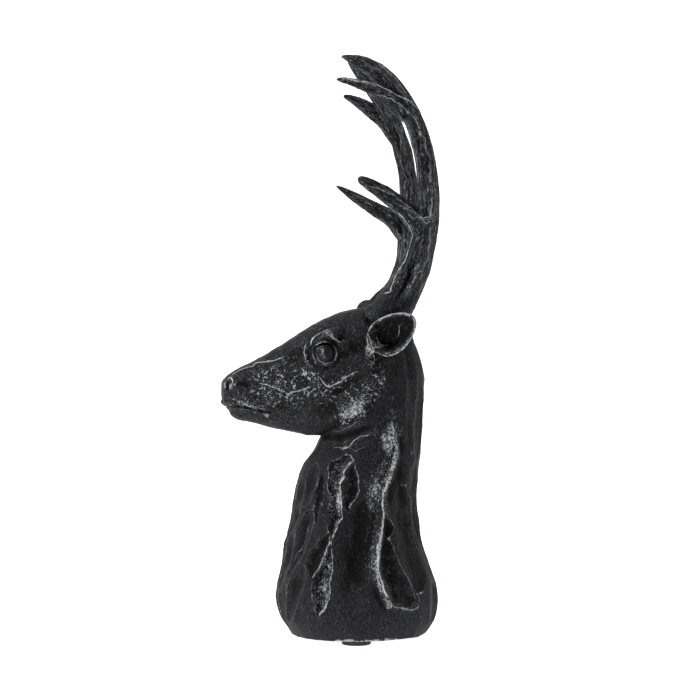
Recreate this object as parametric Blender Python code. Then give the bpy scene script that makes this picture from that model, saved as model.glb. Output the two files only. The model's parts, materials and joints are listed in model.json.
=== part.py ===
"""Deer head sculpture: a carved-looking cast bust with antlers, standing on four round pads.

The deer looks along -Y and its left side is +X. The origin is under the middle of the
figure's box, at the height on which its pads stand. The casting is built like clay on a
bench, from the middle of its flat underside up: closed forms are skinned from rings of
points, fused into one body, carved with gouges and grooves, and cut flat below. The whole
figure is then moved over the origin.
"""

import math

import bmesh
import bpy
import numpy as np
from mathutils import Matrix, Vector
from mathutils.bvhtree import BVHTree

# The casting, in metres. Its tables are in units: one unit is 1/380 of the height, so
# it is a millimetre on the figure at its real size.
FIGURE_HEIGHT = 0.380
UNITS_HIGH = 380.0
UNIT = FIGURE_HEIGHT / UNITS_HIGH

# The pads under it, in metres.
PAD_RADIUS = 0.0095
PAD_THICKNESS = 0.0027
PAD_ROUNDING = 0.0006
PAD_INSET = 0.0015
PAD_TURN = math.radians(-12.0)
PAD_NAMES = ("pad_left", "pad_back", "pad_right", "pad_front")
PAD_SIDES = 24
PAD_ROUNDING_STEPS = 2
JOINT_GAP = 0.0003

# How finely the clay is worked, in metres, and how many triangles the casting keeps.
CLAY_GRAIN = 0.0011
FORM_LEVELS = 2
LUMP_LEVELS = 2
SMOOTH_FACTOR = 0.5
SMOOTH_PASSES = 2
CASTING_TRIANGLES = 9000
CUT_TOLERANCE = 0.00005

# Neck, bottom to top, in units: height, front, back, widest place, half width, and how
# square the front and the back of the section are (1 is an ellipse, less is squarer).
NECK_SECTIONS = (
    (-6.0, -42.0, 41.0, 0.0, 38.0, 0.85, 0.85),
    (1.5, -46.0, 45.8, 0.0, 43.0, 0.85, 0.85),
    (8.0, -51.4, 50.6, 0.0, 45.3, 0.85, 0.85),
    (20.0, -55.2, 54.4, 0.0, 46.0, 0.85, 0.85),
    (35.0, -54.1, 50.8, -1.0, 43.0, 0.85, 0.85),
    (58.0, -48.9, 42.2, -2.0, 37.5, 0.88, 0.85),
    (85.0, -44.4, 38.4, -1.0, 32.5, 0.9, 0.85),
    (107.0, -39.6, 40.4, 2.0, 29.5, 0.92, 0.85),
    (118.0, -30.5, 41.8, 6.0, 28.0, 0.95, 0.85),
    (128.0, -25.0, 42.8, 8.0, 27.0, 0.95, 0.85),
    (141.0, -20.0, 44.0, 11.0, 26.0, 0.95, 0.85),
    (158.0, -10.0, 44.6, 15.0, 25.0, 0.95, 0.88),
    (176.0, -2.0, 43.0, 18.0, 23.0, 0.95, 0.9),
    (192.0, 2.0, 38.0, 18.0, 20.0, 1.0, 1.0),
    (206.0, 6.0, 28.0, 16.0, 13.0, 1.0, 1.0),
)
BASE_HALF_WIDTH = 42.8

# Head, nose to poll, in units: place along Y, top, bottom, height of the widest place,
# half width, and how square the top and the bottom of the section are.
HEAD_SECTIONS = (
    (-90.4, 165.5, 154.8, 160.0, 6.2, 0.85, 0.9),
    (-87.8, 169.6, 149.6, 160.5, 9.8, 0.85, 0.9),
    (-82.0, 173.8, 144.0, 160.5, 11.8, 0.85, 0.9),
    (-72.0, 178.4, 139.6, 160.0, 12.8, 0.85, 0.85),
    (-60.0, 184.2, 136.4, 160.0, 14.2, 0.9, 0.85),
    (-48.0, 191.6, 133.2, 163.0, 16.4, 0.92, 0.9),
    (-36.0, 199.6, 130.8, 167.0, 19.0, 0.9, 1.0),
    (-24.0, 206.2, 129.8, 170.0, 21.2, 0.85, 1.0),
    (-12.0, 211.2, 130.6, 169.0, 23.0, 0.88, 0.95),
    (2.0, 214.4, 135.0, 168.0, 24.2, 0.92, 0.9),
    (16.0, 213.5, 142.0, 172.0, 24.0, 1.0, 0.9),
    (29.0, 207.0, 152.0, 178.0, 20.5, 1.0, 1.0),
    (38.5, 195.0, 166.0, 182.0, 12.0, 1.0, 1.0),
)
RING_POINTS = 16

# Rounded lumps, in units: centre, three radii, and pitch in degrees (nose down is
# positive). Those off the middle are made on both sides.
LUMPS = {
    "eyeball": ((15.6, -25.3, 185.6), (7.2, 7.2, 7.2), 0.0),
    "brow": ((13.5, -23.0, 196.0), (8.5, 13.0, 5.0), 22.0),
    "cheekbone": ((15.0, -24.0, 173.0), (7.0, 19.0, 6.0), -8.0),
    "masseter": ((15.0, -3.0, 157.0), (10.5, 20.0, 21.0), 0.0),
    "nostril_wing": ((5.2, -84.8, 164.2), (5.0, 5.4, 5.4), 20.0),
    "upper_lip": ((5.5, -80.5, 153.6), (6.0, 10.5, 4.6), 6.0),
    "chin": ((0.0, -76.0, 145.5), (8.6, 10.0, 5.4), -12.0),
    "tragus": ((22.6, 3.6, 187.5), (3.4, 3.4, 6.5), -20.0),
    "burr": ((15.5, 9.5, 211.5), (8.0, 8.0, 7.0), 0.0),
}

# Ear, in units: its root in the skull and the middle, the long and the short half axis
# of its opening. Its rings run from the root over the back to the rim and down into the
# cup: share of the way from root to opening, push away from the opening, and size.
EAR_ROOT = (17.0, 13.0, 189.0)
EAR_CENTRE = (36.0, 15.8, 199.0)
EAR_LONG = (11.4, 12.7, 11.5)
EAR_SHORT = (1.4, 7.9, -10.1)
EAR_TIP_TAPER = 0.22
EAR_POINTS = 14
EAR_RINGS = (
    (0.00, 0.0, 0.40),
    (0.45, 5.5, 0.58),
    (0.80, 6.5, 0.80),
    (0.97, 3.4, 0.96),
    (1.00, 0.6, 1.02),
    (1.00, -0.6, 0.96),
    (1.00, 0.8, 0.86),
    (0.97, 4.2, 0.72),
    (0.84, 6.8, 0.54),
    (0.66, 6.8, 0.32),
)

# Antlers, in units: each point is X, Y, Z, half width seen from the side, half thickness.
LIMB_POINTS = 12
LIMBS = {
    "left_beam": (
        (14.0, 13.0, 200.0, 13.5, 11.0), (17.0, 17.5, 211.0, 13.5, 11.0),
        (20.0, 24.4, 222.0, 12.2, 9.8), (23.5, 30.8, 233.5, 11.4, 8.8),
        (27.5, 35.2, 247.5, 10.0, 7.8), (31.5, 38.0, 260.0, 8.6, 7.2),
        (35.0, 39.8, 276.0, 8.2, 6.6), (37.2, 39.7, 292.0, 7.6, 6.2),
        (37.0, 37.9, 310.0, 6.8, 5.8), (34.8, 33.8, 328.0, 6.6, 5.2),
        (31.5, 29.2, 340.5, 6.2, 4.8), (28.0, 24.3, 350.9, 5.8, 4.2),
        (24.5, 16.5, 360.6, 6.4, 3.8), (21.5, 9.2, 367.1, 6.8, 3.4),
        (18.0, -0.2, 372.8, 5.4, 2.8), (15.0, -8.6, 376.2, 2.8, 1.8),
        (14.0, -14.6, 377.4, 0.8, 0.8),
    ),
    "left_second_tine": (
        (33.0, 29.0, 335.0, 5.0, 3.6), (30.5, 21.5, 345.4, 6.6, 3.8),
        (29.2, 13.5, 351.4, 5.4, 3.6), (28.0, 5.0, 356.0, 4.0, 3.0),
        (27.0, -5.0, 359.6, 3.2, 2.6), (26.2, -13.5, 361.7, 2.4, 1.9),
        (26.0, -19.6, 362.4, 1.1, 1.1),
    ),
    "left_lower_tine": (
        (33.0, 37.0, 260.0, 5.0, 4.6), (34.0, 30.0, 273.5, 6.8, 5.0),
        (35.0, 20.5, 282.2, 6.2, 4.8), (35.6, 11.3, 288.8, 5.4, 4.4),
        (36.0, 2.7, 294.0, 4.6, 3.8), (36.2, -3.2, 297.4, 3.6, 3.0),
        (36.2, -7.0, 299.4, 1.8, 1.6),
    ),
    "right_beam": (
        (-14.0, 14.0, 200.0, 13.5, 11.0), (-17.5, 20.5, 211.0, 12.6, 11.0),
        (-20.5, 29.4, 221.0, 9.4, 9.2), (-24.0, 35.0, 231.0, 8.4, 8.2),
        (-28.0, 39.1, 243.5, 7.9, 7.4), (-32.0, 40.4, 259.0, 7.9, 7.0),
        (-35.0, 41.4, 275.0, 7.4, 6.4), (-36.2, 41.6, 292.0, 6.6, 6.0),
        (-35.8, 38.7, 309.0, 6.1, 5.4), (-34.0, 34.2, 322.0, 5.9, 4.8),
        (-30.5, 28.7, 335.0, 6.0, 4.4), (-27.0, 22.3, 344.5, 5.0, 4.0),
        (-23.0, 15.0, 354.5, 4.8, 3.6), (-18.0, 7.0, 364.0, 4.4, 3.2),
        (-14.0, 0.4, 370.6, 3.4, 2.6), (-11.0, -5.4, 376.0, 1.0, 1.0),
    ),
    "right_second_tine": (
        (-33.0, 33.4, 318.0, 4.2, 3.4), (-31.6, 26.6, 331.5, 4.8, 3.6),
        (-31.2, 18.8, 339.4, 5.4, 3.6), (-31.0, 11.2, 344.9, 4.8, 3.4),
        (-30.2, 4.4, 348.6, 3.6, 2.8), (-29.2, -2.0, 351.3, 2.3, 1.9),
        (-29.0, -5.2, 352.4, 1.0, 1.0),
    ),
    "right_lower_tine": (
        (-32.0, 37.5, 256.0, 5.0, 4.4), (-33.4, 31.0, 269.4, 6.4, 4.8),
        (-34.2, 24.0, 273.8, 5.6, 4.4), (-35.2, 16.0, 278.3, 4.9, 4.0),
        (-35.7, 8.0, 283.0, 4.1, 3.5), (-36.0, 0.6, 287.4, 3.0, 2.5),
        (-36.1, -5.0, 290.8, 1.9, 1.5), (-36.1, -9.0, 293.0, 0.7, 0.7),
    ),
}


# Carving of the neck, in units and degrees. Soft hollows are shallow troughs, and gouges
# are leaf-shaped cuts with sharp edges. Each is placed by its angle round the neck (-90 is
# the front, 0 the flank and 90 the back) and its height, and has a lean, half length, half
# width and depth. The other flank has them too, moved a little as by hand.
NECK_HOLLOWS = (
    (-12.0, 62.0, 7.0, 52.0, 15.0, 4.4),
    (20.0, 48.0, -4.0, 30.0, 8.0, 2.2),
    (-34.0, 122.0, 60.0, 22.0, 9.0, 1.6),
    (38.0, 112.0, 4.0, 50.0, 9.0, 1.6),
)
NECK_GOUGES = (
    (-66.0, 62.0, 16.0, 24.0, 6.6, 2.3),
    (-64.0, 30.0, 14.0, 21.0, 7.2, 2.3),
    (-66.0, 100.0, 10.0, 15.0, 6.0, 1.8),
    (66.0, 20.0, 6.0, 16.0, 7.5, 2.0),
    (66.0, 84.0, -4.0, 30.0, 6.4, 2.3),
    (68.0, 140.0, 2.0, 28.0, 6.0, 2.0),
)
MIDDLE_GOUGES = tuple(
    (angle, height, lean, 21.0, 6.8, 2.2)
    for angle, lean in ((-79.0, 9.0), (-92.0, -4.0), (85.0, 3.0))
    for height in (18.0, 50.0, 84.0)
)
NO_SHIFT = (0.0, 0.0, 0.0, 1.0, 1.0, 1.0)
FAR_SHIFT = (3.0, -4.0, 2.0, 1.05, 0.95, 1.0)
GOUGE_REACH = 12.0
OUTSIDE_NECK = 95.0

# Long leaves cut into the flank of the neck, in units: rows of height, front edge and back
# edge (Y); then the depth, and how far its deepest line is moved to the back, as a share.
NECK_LEAVES = {
    "long_upper": (((118.0, -15.0, -10.0), (115.5, -21.6, -8.3), (109.0, -24.0, -13.0),
                    (101.0, -24.2, -15.9), (91.0, -23.2, -15.7), (81.0, -24.1, -16.4),
                    (73.0, -25.9, -19.6), (66.5, -23.6, -23.0)), 2.8, -0.5),
    "long_lower": (((60.5, -23.7, -23.2), (56.6, -26.7, -23.3), (50.9, -30.7, -23.5),
                    (44.4, -34.6, -23.9), (39.5, -36.7, -24.3), (33.3, -36.5, -25.6),
                    (27.0, -35.6, -27.5), (21.0, -34.6, -29.8), (15.5, -33.3, -32.9)),
                   3.2, -0.5),
    "dark_lower": (((70.5, -24.9, -23.6), (63.5, -31.7, -24.6), (56.0, -37.1, -27.8),
                    (48.7, -38.8, -32.2), (41.0, -38.1, -36.0), (36.0, -37.4, -37.0)),
                   2.4, 0.4),
    "small_dark": (((114.5, -8.4, -7.6), (106.0, -13.2, -5.9), (98.5, -14.6, -5.4),
                    (92.0, -14.5, -7.6), (87.5, -14.2, -10.0), (82.5, -13.4, -12.8)),
                   2.4, 0.4),
    "front_upper": (((106.0, -28.0, -26.6), (101.5, -30.2, -25.1), (92.0, -32.8, -27.4),
                     (82.0, -33.9, -30.3), (76.0, -33.3, -33.0)), 1.9, -0.4),
    "pit": (((80.5, 12.6, 14.2), (77.3, 11.0, 17.3), (72.4, 9.8, 18.9), (68.5, 10.2, 17.8),
             (66.0, 12.8, 14.0)), 2.2, 0.2),
    "behind_ridge": (((66.5, 9.8, 14.6), (61.0, 8.4, 18.0), (55.0, 7.4, 18.8),
                      (48.5, 7.2, 21.3), (40.0, 8.4, 26.3), (33.0, 11.4, 30.2),
                      (27.0, 14.6, 32.6), (22.0, 19.0, 30.0)), 2.6, 0.3),
    "back_flank": (((98.0, 22.0, 28.0), (90.0, 20.6, 30.6), (80.0, 20.2, 31.4),
                    (70.0, 20.0, 31.4), (60.0, 20.8, 34.8), (50.0, 22.8, 39.6),
                    (40.0, 27.0, 41.0), (31.0, 31.4, 39.6)), 2.2, 0.0),
    "upper_flank": (((131.0, 24.0, 27.0), (124.0, 22.4, 31.0), (114.0, 20.8, 31.6),
                     (104.0, 20.6, 29.6), (99.0, 21.6, 26.0)), 1.2, 0.0),
    "nape": (((186.0, 27.0, 31.0), (176.0, 27.2, 35.2), (164.0, 28.2, 37.0),
              (150.0, 28.0, 36.8), (138.0, 27.4, 36.2), (127.0, 28.6, 33.6)), 1.0, 0.0),
}
LEAF_LEAST_HALF_WIDTH = 0.6
LEAF_END = 2.0
LEAF_FROM_MIDDLE = 4.0

# Carving of the head, in units: soft hollows are (Y, height) on the flank, lean, half
# length, half width and depth.
HEAD_HOLLOWS = (
    (-76.0, 165.5, 88.0, 10.0, 6.0, 1.8),
    (-10.0, 186.0, 50.0, 13.0, 8.0, 1.8),
    (-52.0, 151.0, 80.0, 16.0, 5.0, 1.0),
    (-24.0, 149.0, 80.0, 14.0, 9.0, 1.6),
    (-42.0, 184.0, 60.0, 12.0, 6.0, 1.2),
    (8.0, 178.0, 0.0, 14.0, 6.0, 1.6),
)

# Lines of the head and neck, in units: a run of (Y, height) on the flank, half width and
# depth; a depth below nought is a raised ridge.
EYE_PLACE = (-25.3, 185.6)
FLANK_LINES = {
    "jaw": (((-22.0, 130.0), (-15.2, 131.0), (-6.1, 134.0), (2.7, 137.1), (8.0, 141.0)),
            4.2, 2.6),
    "lips": (((-86.5, 150.6), (-82.6, 150.9), (-76.9, 150.3), (-70.5, 149.0),
              (-64.9, 147.6), (-59.5, 146.4)), 1.6, 1.4),
    "nostril": (((-86.4, 167.6), (-87.6, 165.6), (-87.8, 162.6), (-86.6, 160.6)), 1.9, 2.6),
    "nostril_rim": (((-82.6, 170.0), (-83.8, 167.0), (-83.0, 162.6), (-85.0, 159.6)),
                    2.0, -0.5),
    "bridge": (((-80.0, 173.6), (-68.4, 177.6), (-60.8, 179.6), (-53.2, 182.2)), 2.4, -0.9),
    "crest": (((-62.4, 162.0), (-49.6, 162.0), (-43.0, 161.0), (-36.9, 162.0)), 2.4, -0.7),
    "cheek_arch": (((-30.0, 168.0), (-23.5, 163.7), (-16.5, 167.0), (-10.0, 172.2),
                    (-2.9, 174.7), (0.8, 173.5), (2.3, 166.9)), 2.6, -1.2),
    "brow_edge": (((-34.0, 193.6), (-27.6, 197.0), (-22.6, 197.6), (-16.6, 191.4),
                   (-12.6, 184.6)), 2.4, -1.3),
    "tear_line": (((-36.3, 190.0), (-37.9, 185.3), (-37.8, 181.1), (-37.5, 176.1)), 1.8, -0.8),
    "lid_fold": (((-18.4, 192.1), (-15.4, 188.9), (-12.4, 184.4)), 1.6, 1.1),
    "burr_notch": (((2.4, 210.0), (4.0, 206.4), (7.0, 203.6), (11.0, 202.0)), 2.4, 1.4),
    "main_ridge": (((22.6, 123.6), (20.4, 114.0), (16.8, 105.7), (11.9, 99.8), (10.3, 92.1),
                    (10.8, 84.4), (9.1, 74.2), (8.2, 65.7), (5.9, 58.2), (4.8, 49.7),
                    (5.1, 40.6), (10.1, 30.9), (13.9, 24.0), (20.0, 21.0), (30.8, 19.2)),
                   5.2, -2.1),
}
EYE_RINGS = ((6.3, 1.2, 0.8), (7.4, 1.3, -0.5), (9.8, 2.6, 0.7))
EYE_RING_POINTS = 20
LIP_FRONT = (0.0, -88.6, 149.6)
PHILTRUM_LINE = (((0.0, -91.5, 158.0), (0.0, -90.6, 150.4)), 1.8, 1.4)

# Flutes along the antlers: angles round a limb (0 is its front edge, 90 is +X), and their
# half width and depth as shares of the limb's own half width and half thickness.
FLUTE_ANGLES = (22.0, 78.0, 138.0, 196.0, 250.0, 310.0)
FLUTE_WIDTH = 0.36
FLUTE_DEPTH = 0.16
FLUTES_START = 214.0
FLUTES_BLEND = 10.0

# Deep grooves along the beams, in units: places, half width and depth.
BEAM_GROOVES = (
    (((34.6, 31.0, 250.0), (33.5, 29.2, 243.0), (32.0, 27.3, 234.3), (30.4, 24.3, 225.6),
      (29.0, 21.3, 217.0)), 4.2, 2.4),
    (((-25.0, 35.6, 256.8), (-28.5, 34.6, 266.7), (-30.0, 35.8, 282.0)), 2.4, 1.2),
    (((41.0, 37.0, 318.0), (42.0, 38.0, 305.0), (42.6, 38.6, 292.0)), 2.4, 1.0),
)

# Paint and rubber: colour and roughness.
PAINT_COLOR = (0.022, 0.022, 0.026)
PAINT_ROUGHNESS = 0.5
RUBBER_COLOR = (0.012, 0.012, 0.012)
RUBBER_ROUGHNESS = 0.75


def rounding_fill(count):
    """Return how much larger a ring of points is drawn, so that its form keeps its size."""
    return 3.0 / (2.0 + math.cos(2.0 * math.pi / count))


def half_power(value, power):
    """Return value raised to power, with its sign kept."""
    return math.copysign(abs(value) ** power, value)


def section_pairs(low, high, wide, half_width, low_power, high_power):
    """Return (across, along) pairs round a section that runs from low to high."""
    fill = rounding_fill(RING_POINTS)
    pairs = []
    for index in range(RING_POINTS):
        turn = 2.0 * math.pi * index / RING_POINTS
        reach = math.cos(turn)
        power = high_power if reach > 0.0 else low_power
        across = half_width * half_power(math.sin(turn), power)
        along = reach * ((high - wide) if reach > 0.0 else (wide - low))
        pairs.append((across * fill, wide + along * fill))
    return pairs


def neck_rings():
    """Return the rings of the neck, bottom to top."""
    rings = []
    for height, front, back, wide, half_width, front_power, back_power in NECK_SECTIONS:
        pairs = section_pairs(front, back, wide, half_width, front_power, back_power)
        rings.append([Vector((x, y, height)) for x, y in pairs])
    return rings


def head_rings():
    """Return the rings of the head, nose to poll."""
    rings = []
    for along, top, bottom, wide, half_width, top_power, bottom_power in HEAD_SECTIONS:
        pairs = section_pairs(bottom, top, wide, half_width, bottom_power, top_power)
        rings.append([Vector((x, along, z)) for x, z in pairs])
    return rings


def ear_rings(side):
    """Return the rings of one ear, from its root over the rim into the cup."""
    root, centre = Vector(EAR_ROOT), Vector(EAR_CENTRE)
    long_axis, short_axis = Vector(EAR_LONG), Vector(EAR_SHORT)
    away = long_axis.cross(short_axis).normalized()
    rings = []
    for share, push, size in EAR_RINGS:
        middle = root.lerp(centre, share) + away * push
        ring = []
        for index in range(EAR_POINTS):
            turn = 2.0 * math.pi * index / EAR_POINTS
            taper = 1.0 - EAR_TIP_TAPER * math.cos(turn)
            point = middle + long_axis * (size * math.cos(turn))
            point += short_axis * (size * taper * math.sin(turn))
            ring.append(Vector((side * point.x, point.y, point.z)))
        rings.append(ring)
    return rings


def limb_frames(points):
    """Return (centre, width axis, thickness axis) at each point of an antler limb."""
    centres = [Vector(point[:3]) for point in points]
    frames = []
    for index, centre in enumerate(centres):
        before, after = centres[max(index - 1, 0)], centres[min(index + 1, len(centres) - 1)]
        tangent = (after - before).normalized()
        width_axis = Vector((1.0, 0.0, 0.0)).cross(tangent).normalized()
        frames.append((centre, width_axis, tangent.cross(width_axis)))
    return frames


def limb_rings(points):
    """Return the rings of one antler limb, foot to tip."""
    fill = rounding_fill(LIMB_POINTS)
    rings = []
    for (centre, width_axis, depth_axis), point in zip(limb_frames(points), points):
        half_width, half_depth = point[3] * fill, point[4] * fill
        ring = []
        for index in range(LIMB_POINTS):
            turn = 2.0 * math.pi * index / LIMB_POINTS
            offset = width_axis * (half_width * math.cos(turn))
            ring.append(centre + offset + depth_axis * (half_depth * math.sin(turn)))
        rings.append(ring)
    return rings


def add_skin(clay, rings):
    """Add a closed skin over a run of rings, each end closed by one face."""
    loops = [[clay.verts.new(point) for point in ring] for ring in rings]
    count = len(loops[0])
    for lower, upper in zip(loops, loops[1:]):
        for index in range(count):
            after = (index + 1) % count
            clay.faces.new((lower[index], lower[after], upper[after], upper[index]))
    clay.faces.new(list(reversed(loops[0])))
    clay.faces.new(loops[-1])


def add_lump(clay, centre, radii, pitch, side):
    """Add one rounded lump, on the side of the middle that side gives."""
    place = Matrix.Translation(Vector((side * centre[0], centre[1], centre[2])))
    turn = Matrix.Rotation(math.radians(pitch), 4, "X")
    bmesh.ops.create_icosphere(clay, subdivisions=LUMP_LEVELS, radius=1.0,
                               matrix=place @ turn @ Matrix.Diagonal((*radii, 1.0)))


def model_forms():
    """Return a mesh of all the closed forms of the figure, in units and not yet fused."""
    clay = bmesh.new()
    add_skin(clay, neck_rings())
    add_skin(clay, head_rings())
    for side in (1.0, -1.0):
        add_skin(clay, ear_rings(side))
    for points in LIMBS.values():
        add_skin(clay, limb_rings(points))
    for centre, radii, pitch in LUMPS.values():
        for side in (1.0, -1.0) if centre[0] else (1.0,):
            add_lump(clay, centre, radii, pitch, side)
    bmesh.ops.recalc_face_normals(clay, faces=clay.faces[:])
    mesh = bpy.data.meshes.new("forms")
    clay.to_mesh(mesh)
    clay.free()
    mesh.transform(Matrix.Scale(UNIT, 4))
    return mesh


def apply_modifiers(body):
    """Replace an object's mesh by what its modifiers make of it."""
    graph = bpy.context.evaluated_depsgraph_get()
    mesh = bpy.data.meshes.new_from_object(body.evaluated_get(graph))
    body.modifiers.clear()
    body.data = mesh


def fuse(body):
    """Fuse the closed forms of an object into one body of even grain."""
    rounding = body.modifiers.new("Rounding", "SUBSURF")
    rounding.levels = rounding.render_levels = FORM_LEVELS
    fusing = body.modifiers.new("Fusing", "REMESH")
    fusing.mode = "VOXEL"
    fusing.voxel_size = CLAY_GRAIN
    smoothing = body.modifiers.new("Smoothing", "SMOOTH")
    smoothing.factor = SMOOTH_FACTOR
    smoothing.iterations = SMOOTH_PASSES
    apply_modifiers(body)


def read_surface(body):
    """Return an object's points in units and its normals, as arrays of rows."""
    mesh = body.data
    points = np.empty(len(mesh.vertices) * 3)
    normals = np.empty(len(mesh.vertices) * 3)
    mesh.vertices.foreach_get("co", points)
    mesh.vertex_normals.foreach_get("vector", normals)
    return points.reshape(-1, 3) / UNIT, normals.reshape(-1, 3)


def surface_tree(body):
    """Return a search tree of an object's faces, in units."""
    corners = [vertex.co / UNIT for vertex in body.data.vertices]
    return BVHTree.FromPolygons(corners, [face.vertices[:] for face in body.data.polygons])


def touch_flank(tree, along, height):
    """Return the point and the normal where a straight line from +X meets the form."""
    point, normal, _, _ = tree.ray_cast(Vector((UNITS_HIGH, along, height)),
                                        Vector((-1.0, 0.0, 0.0)))
    return point, normal


def touch_neck(tree, angle, height):
    """Return the point and the normal at an angle round the neck."""
    turn = math.radians(angle)
    outward = Vector((math.cos(turn), math.sin(turn), 0.0))
    start = Vector((0.0, 0.0, height)) + outward * OUTSIDE_NECK
    point, normal, _, _ = tree.ray_cast(start, -outward)
    return point, normal


def gouge_frame(point, normal, lean):
    """Return the long, cross and outward axes of a gouge that leans back at its top."""
    back = Vector((0.0, 0.0, 1.0)).cross(normal).normalized()
    upward = normal.cross(back)
    tilt = math.radians(lean)
    long_axis = upward * math.cos(tilt) + back * math.sin(tilt)
    return long_axis, normal.cross(long_axis), normal


def mirrored(vector):
    """Return a vector mirrored in the middle plane."""
    return Vector((-vector.x, vector.y, vector.z))


def gouge_share(points, place, axes, half_length, half_width):
    """Return how deep a gouge cuts at each point, as a share of its depth."""
    long_axis, cross_axis, outward = (np.array(axis) for axis in axes)
    offset = points - np.array(place)
    near = np.abs(offset @ outward) < GOUGE_REACH
    reach = (offset @ long_axis / half_length) ** 2 + (offset @ cross_axis / half_width) ** 2
    return np.where(near, np.clip(1.0 - reach, 0.0, None), 0.0)


def gouge_cuts(points, tree, touch, gouges, soft):
    """Return the cut that a set of gouges makes at each point, on both flanks.

    Soft hollows add up, and of sharp gouges the deepest holds.
    """
    total = np.zeros(len(points))
    for first, second, lean, half_length, half_width, depth in gouges:
        for far in (False, True):
            shift = FAR_SHIFT if far and not soft else NO_SHIFT
            place, normal = touch(tree, first + shift[0], second + shift[1])
            axes = gouge_frame(place, normal, lean + shift[2])
            if far:
                place, axes = mirrored(place), [mirrored(axis) for axis in axes]
            share = gouge_share(points, place, axes, half_length * shift[3],
                                half_width * shift[4])
            if soft:
                total += depth * share ** 2
            else:
                total = np.maximum(total, depth * shift[5] * share)
    return total


def leaf_cuts(points):
    """Return the cut that the neck's long leaves make at each point, on both flanks."""
    total = np.zeros(len(points))
    for rows, depth, lean in NECK_LEAVES.values():
        heights, fronts, backs = (np.array(part[::-1]) for part in zip(*rows))
        widest = (backs - fronts).max() / 2.0
        for side, shift in ((1.0, NO_SHIFT), (-1.0, FAR_SHIFT)):
            level = points[:, 2] - shift[1]
            front, back = np.interp(level, heights, fronts), np.interp(level, heights, backs)
            half = np.maximum((back - front) / 2.0, LEAF_LEAST_HALF_WIDTH)
            across = (points[:, 1] - (front + back) / 2.0) / half
            beyond = np.maximum(np.maximum(level - heights[-1], heights[0] - level), 0.0)
            share = np.clip(1.0 - across ** 2 - (beyond / LEAF_END) ** 2, 0.0, None)
            cut = depth * np.sqrt(np.clip(half / widest, 0.0, 1.0)) * share
            cut *= 1.0 + lean * np.clip(across, -1.0, 1.0)
            cut[points[:, 0] * side < LEAF_FROM_MIDDLE] = 0.0
            total = np.maximum(total, cut)
    return total


def line_cut(points, route, half_width, depth):
    """Return the cut that a groove along a run of places makes at each point."""
    nearest = np.full(len(points), np.inf)
    for start, end in zip(route, route[1:]):
        start, along = np.array(start), np.array(end) - np.array(start)
        share = np.clip((points - start) @ along / (along @ along), 0.0, 1.0)
        gap = points - start - share[:, None] * along
        nearest = np.minimum(nearest, np.einsum("ij,ij->i", gap, gap))
    return depth * np.clip(1.0 - nearest / half_width ** 2, 0.0, None) ** 2


def both_flanks(route):
    """Return a route on the left flank and its mirror image."""
    return route, [mirrored(Vector(place)) for place in route]


def eye_ring(tree, radius):
    """Return a closed ring of places round the eye on the left flank."""
    along, height = EYE_PLACE
    ring = []
    for index in range(EYE_RING_POINTS + 1):
        turn = 2.0 * math.pi * index / EYE_RING_POINTS
        spot = (along + radius * math.cos(turn), height + radius * math.sin(turn))
        ring.append(touch_flank(tree, *spot)[0])
    return ring


def line_cuts(points, tree):
    """Return the cut that the lines of the head and neck make at each point."""
    total = np.zeros(len(points))
    for name, (run, half_width, depth) in FLANK_LINES.items():
        route = [touch_flank(tree, *spot)[0] for spot in run]
        if name == "lips":
            route.insert(0, Vector(LIP_FRONT))
        for side in both_flanks(route):
            total += line_cut(points, side, half_width, depth)
    for radius, half_width, depth in EYE_RINGS:
        for side in both_flanks(eye_ring(tree, radius)):
            total += line_cut(points, side, half_width, depth)
    return total + line_cut(points, *PHILTRUM_LINE)


def flute_cuts(points):
    """Return the cut that the flutes along the antlers make at each point."""
    total = np.zeros(len(points))
    for limb in LIMBS.values():
        frames = limb_frames(limb)[1:-1]
        sizes = limb[1:-1]
        for angle in FLUTE_ANGLES:
            turn = math.radians(angle)
            route = []
            for (centre, width_axis, depth_axis), size in zip(frames, sizes):
                offset = width_axis * (size[3] * math.cos(turn))
                route.append(centre + offset + depth_axis * (size[4] * math.sin(turn)))
            middle = sizes[len(sizes) // 2]
            total += line_cut(points, route, FLUTE_WIDTH * middle[3], FLUTE_DEPTH * middle[4])
    total *= np.clip((points[:, 2] - FLUTES_START) / FLUTES_BLEND, 0.0, 1.0)
    for route, half_width, depth in BEAM_GROOVES:
        total += line_cut(points, route, half_width, depth)
    return total


def carve(body):
    """Carve the gouges, hollows, grooves and ridges into the fused body."""
    points, normals = read_surface(body)
    tree = surface_tree(body)
    depth = gouge_cuts(points, tree, touch_neck, NECK_HOLLOWS, soft=True)
    depth += gouge_cuts(points, tree, touch_flank, HEAD_HOLLOWS, soft=True)
    sharp = gouge_cuts(points, tree, touch_neck, NECK_GOUGES + MIDDLE_GOUGES, soft=False)
    depth += np.maximum(sharp, leaf_cuts(points))
    depth += line_cuts(points, tree)
    depth += flute_cuts(points)
    carved = (points - normals * depth[:, None]) * UNIT
    body.data.vertices.foreach_set("co", carved.ravel())
    body.data.update()


def thin_out(body, triangles):
    """Collapse an object's mesh to a number of triangles."""
    body.data.calc_loop_triangles()
    thinning = body.modifiers.new("Thinning", "DECIMATE")
    thinning.ratio = triangles / len(body.data.loop_triangles)
    thinning.use_collapse_triangulate = True
    apply_modifiers(body)


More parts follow.
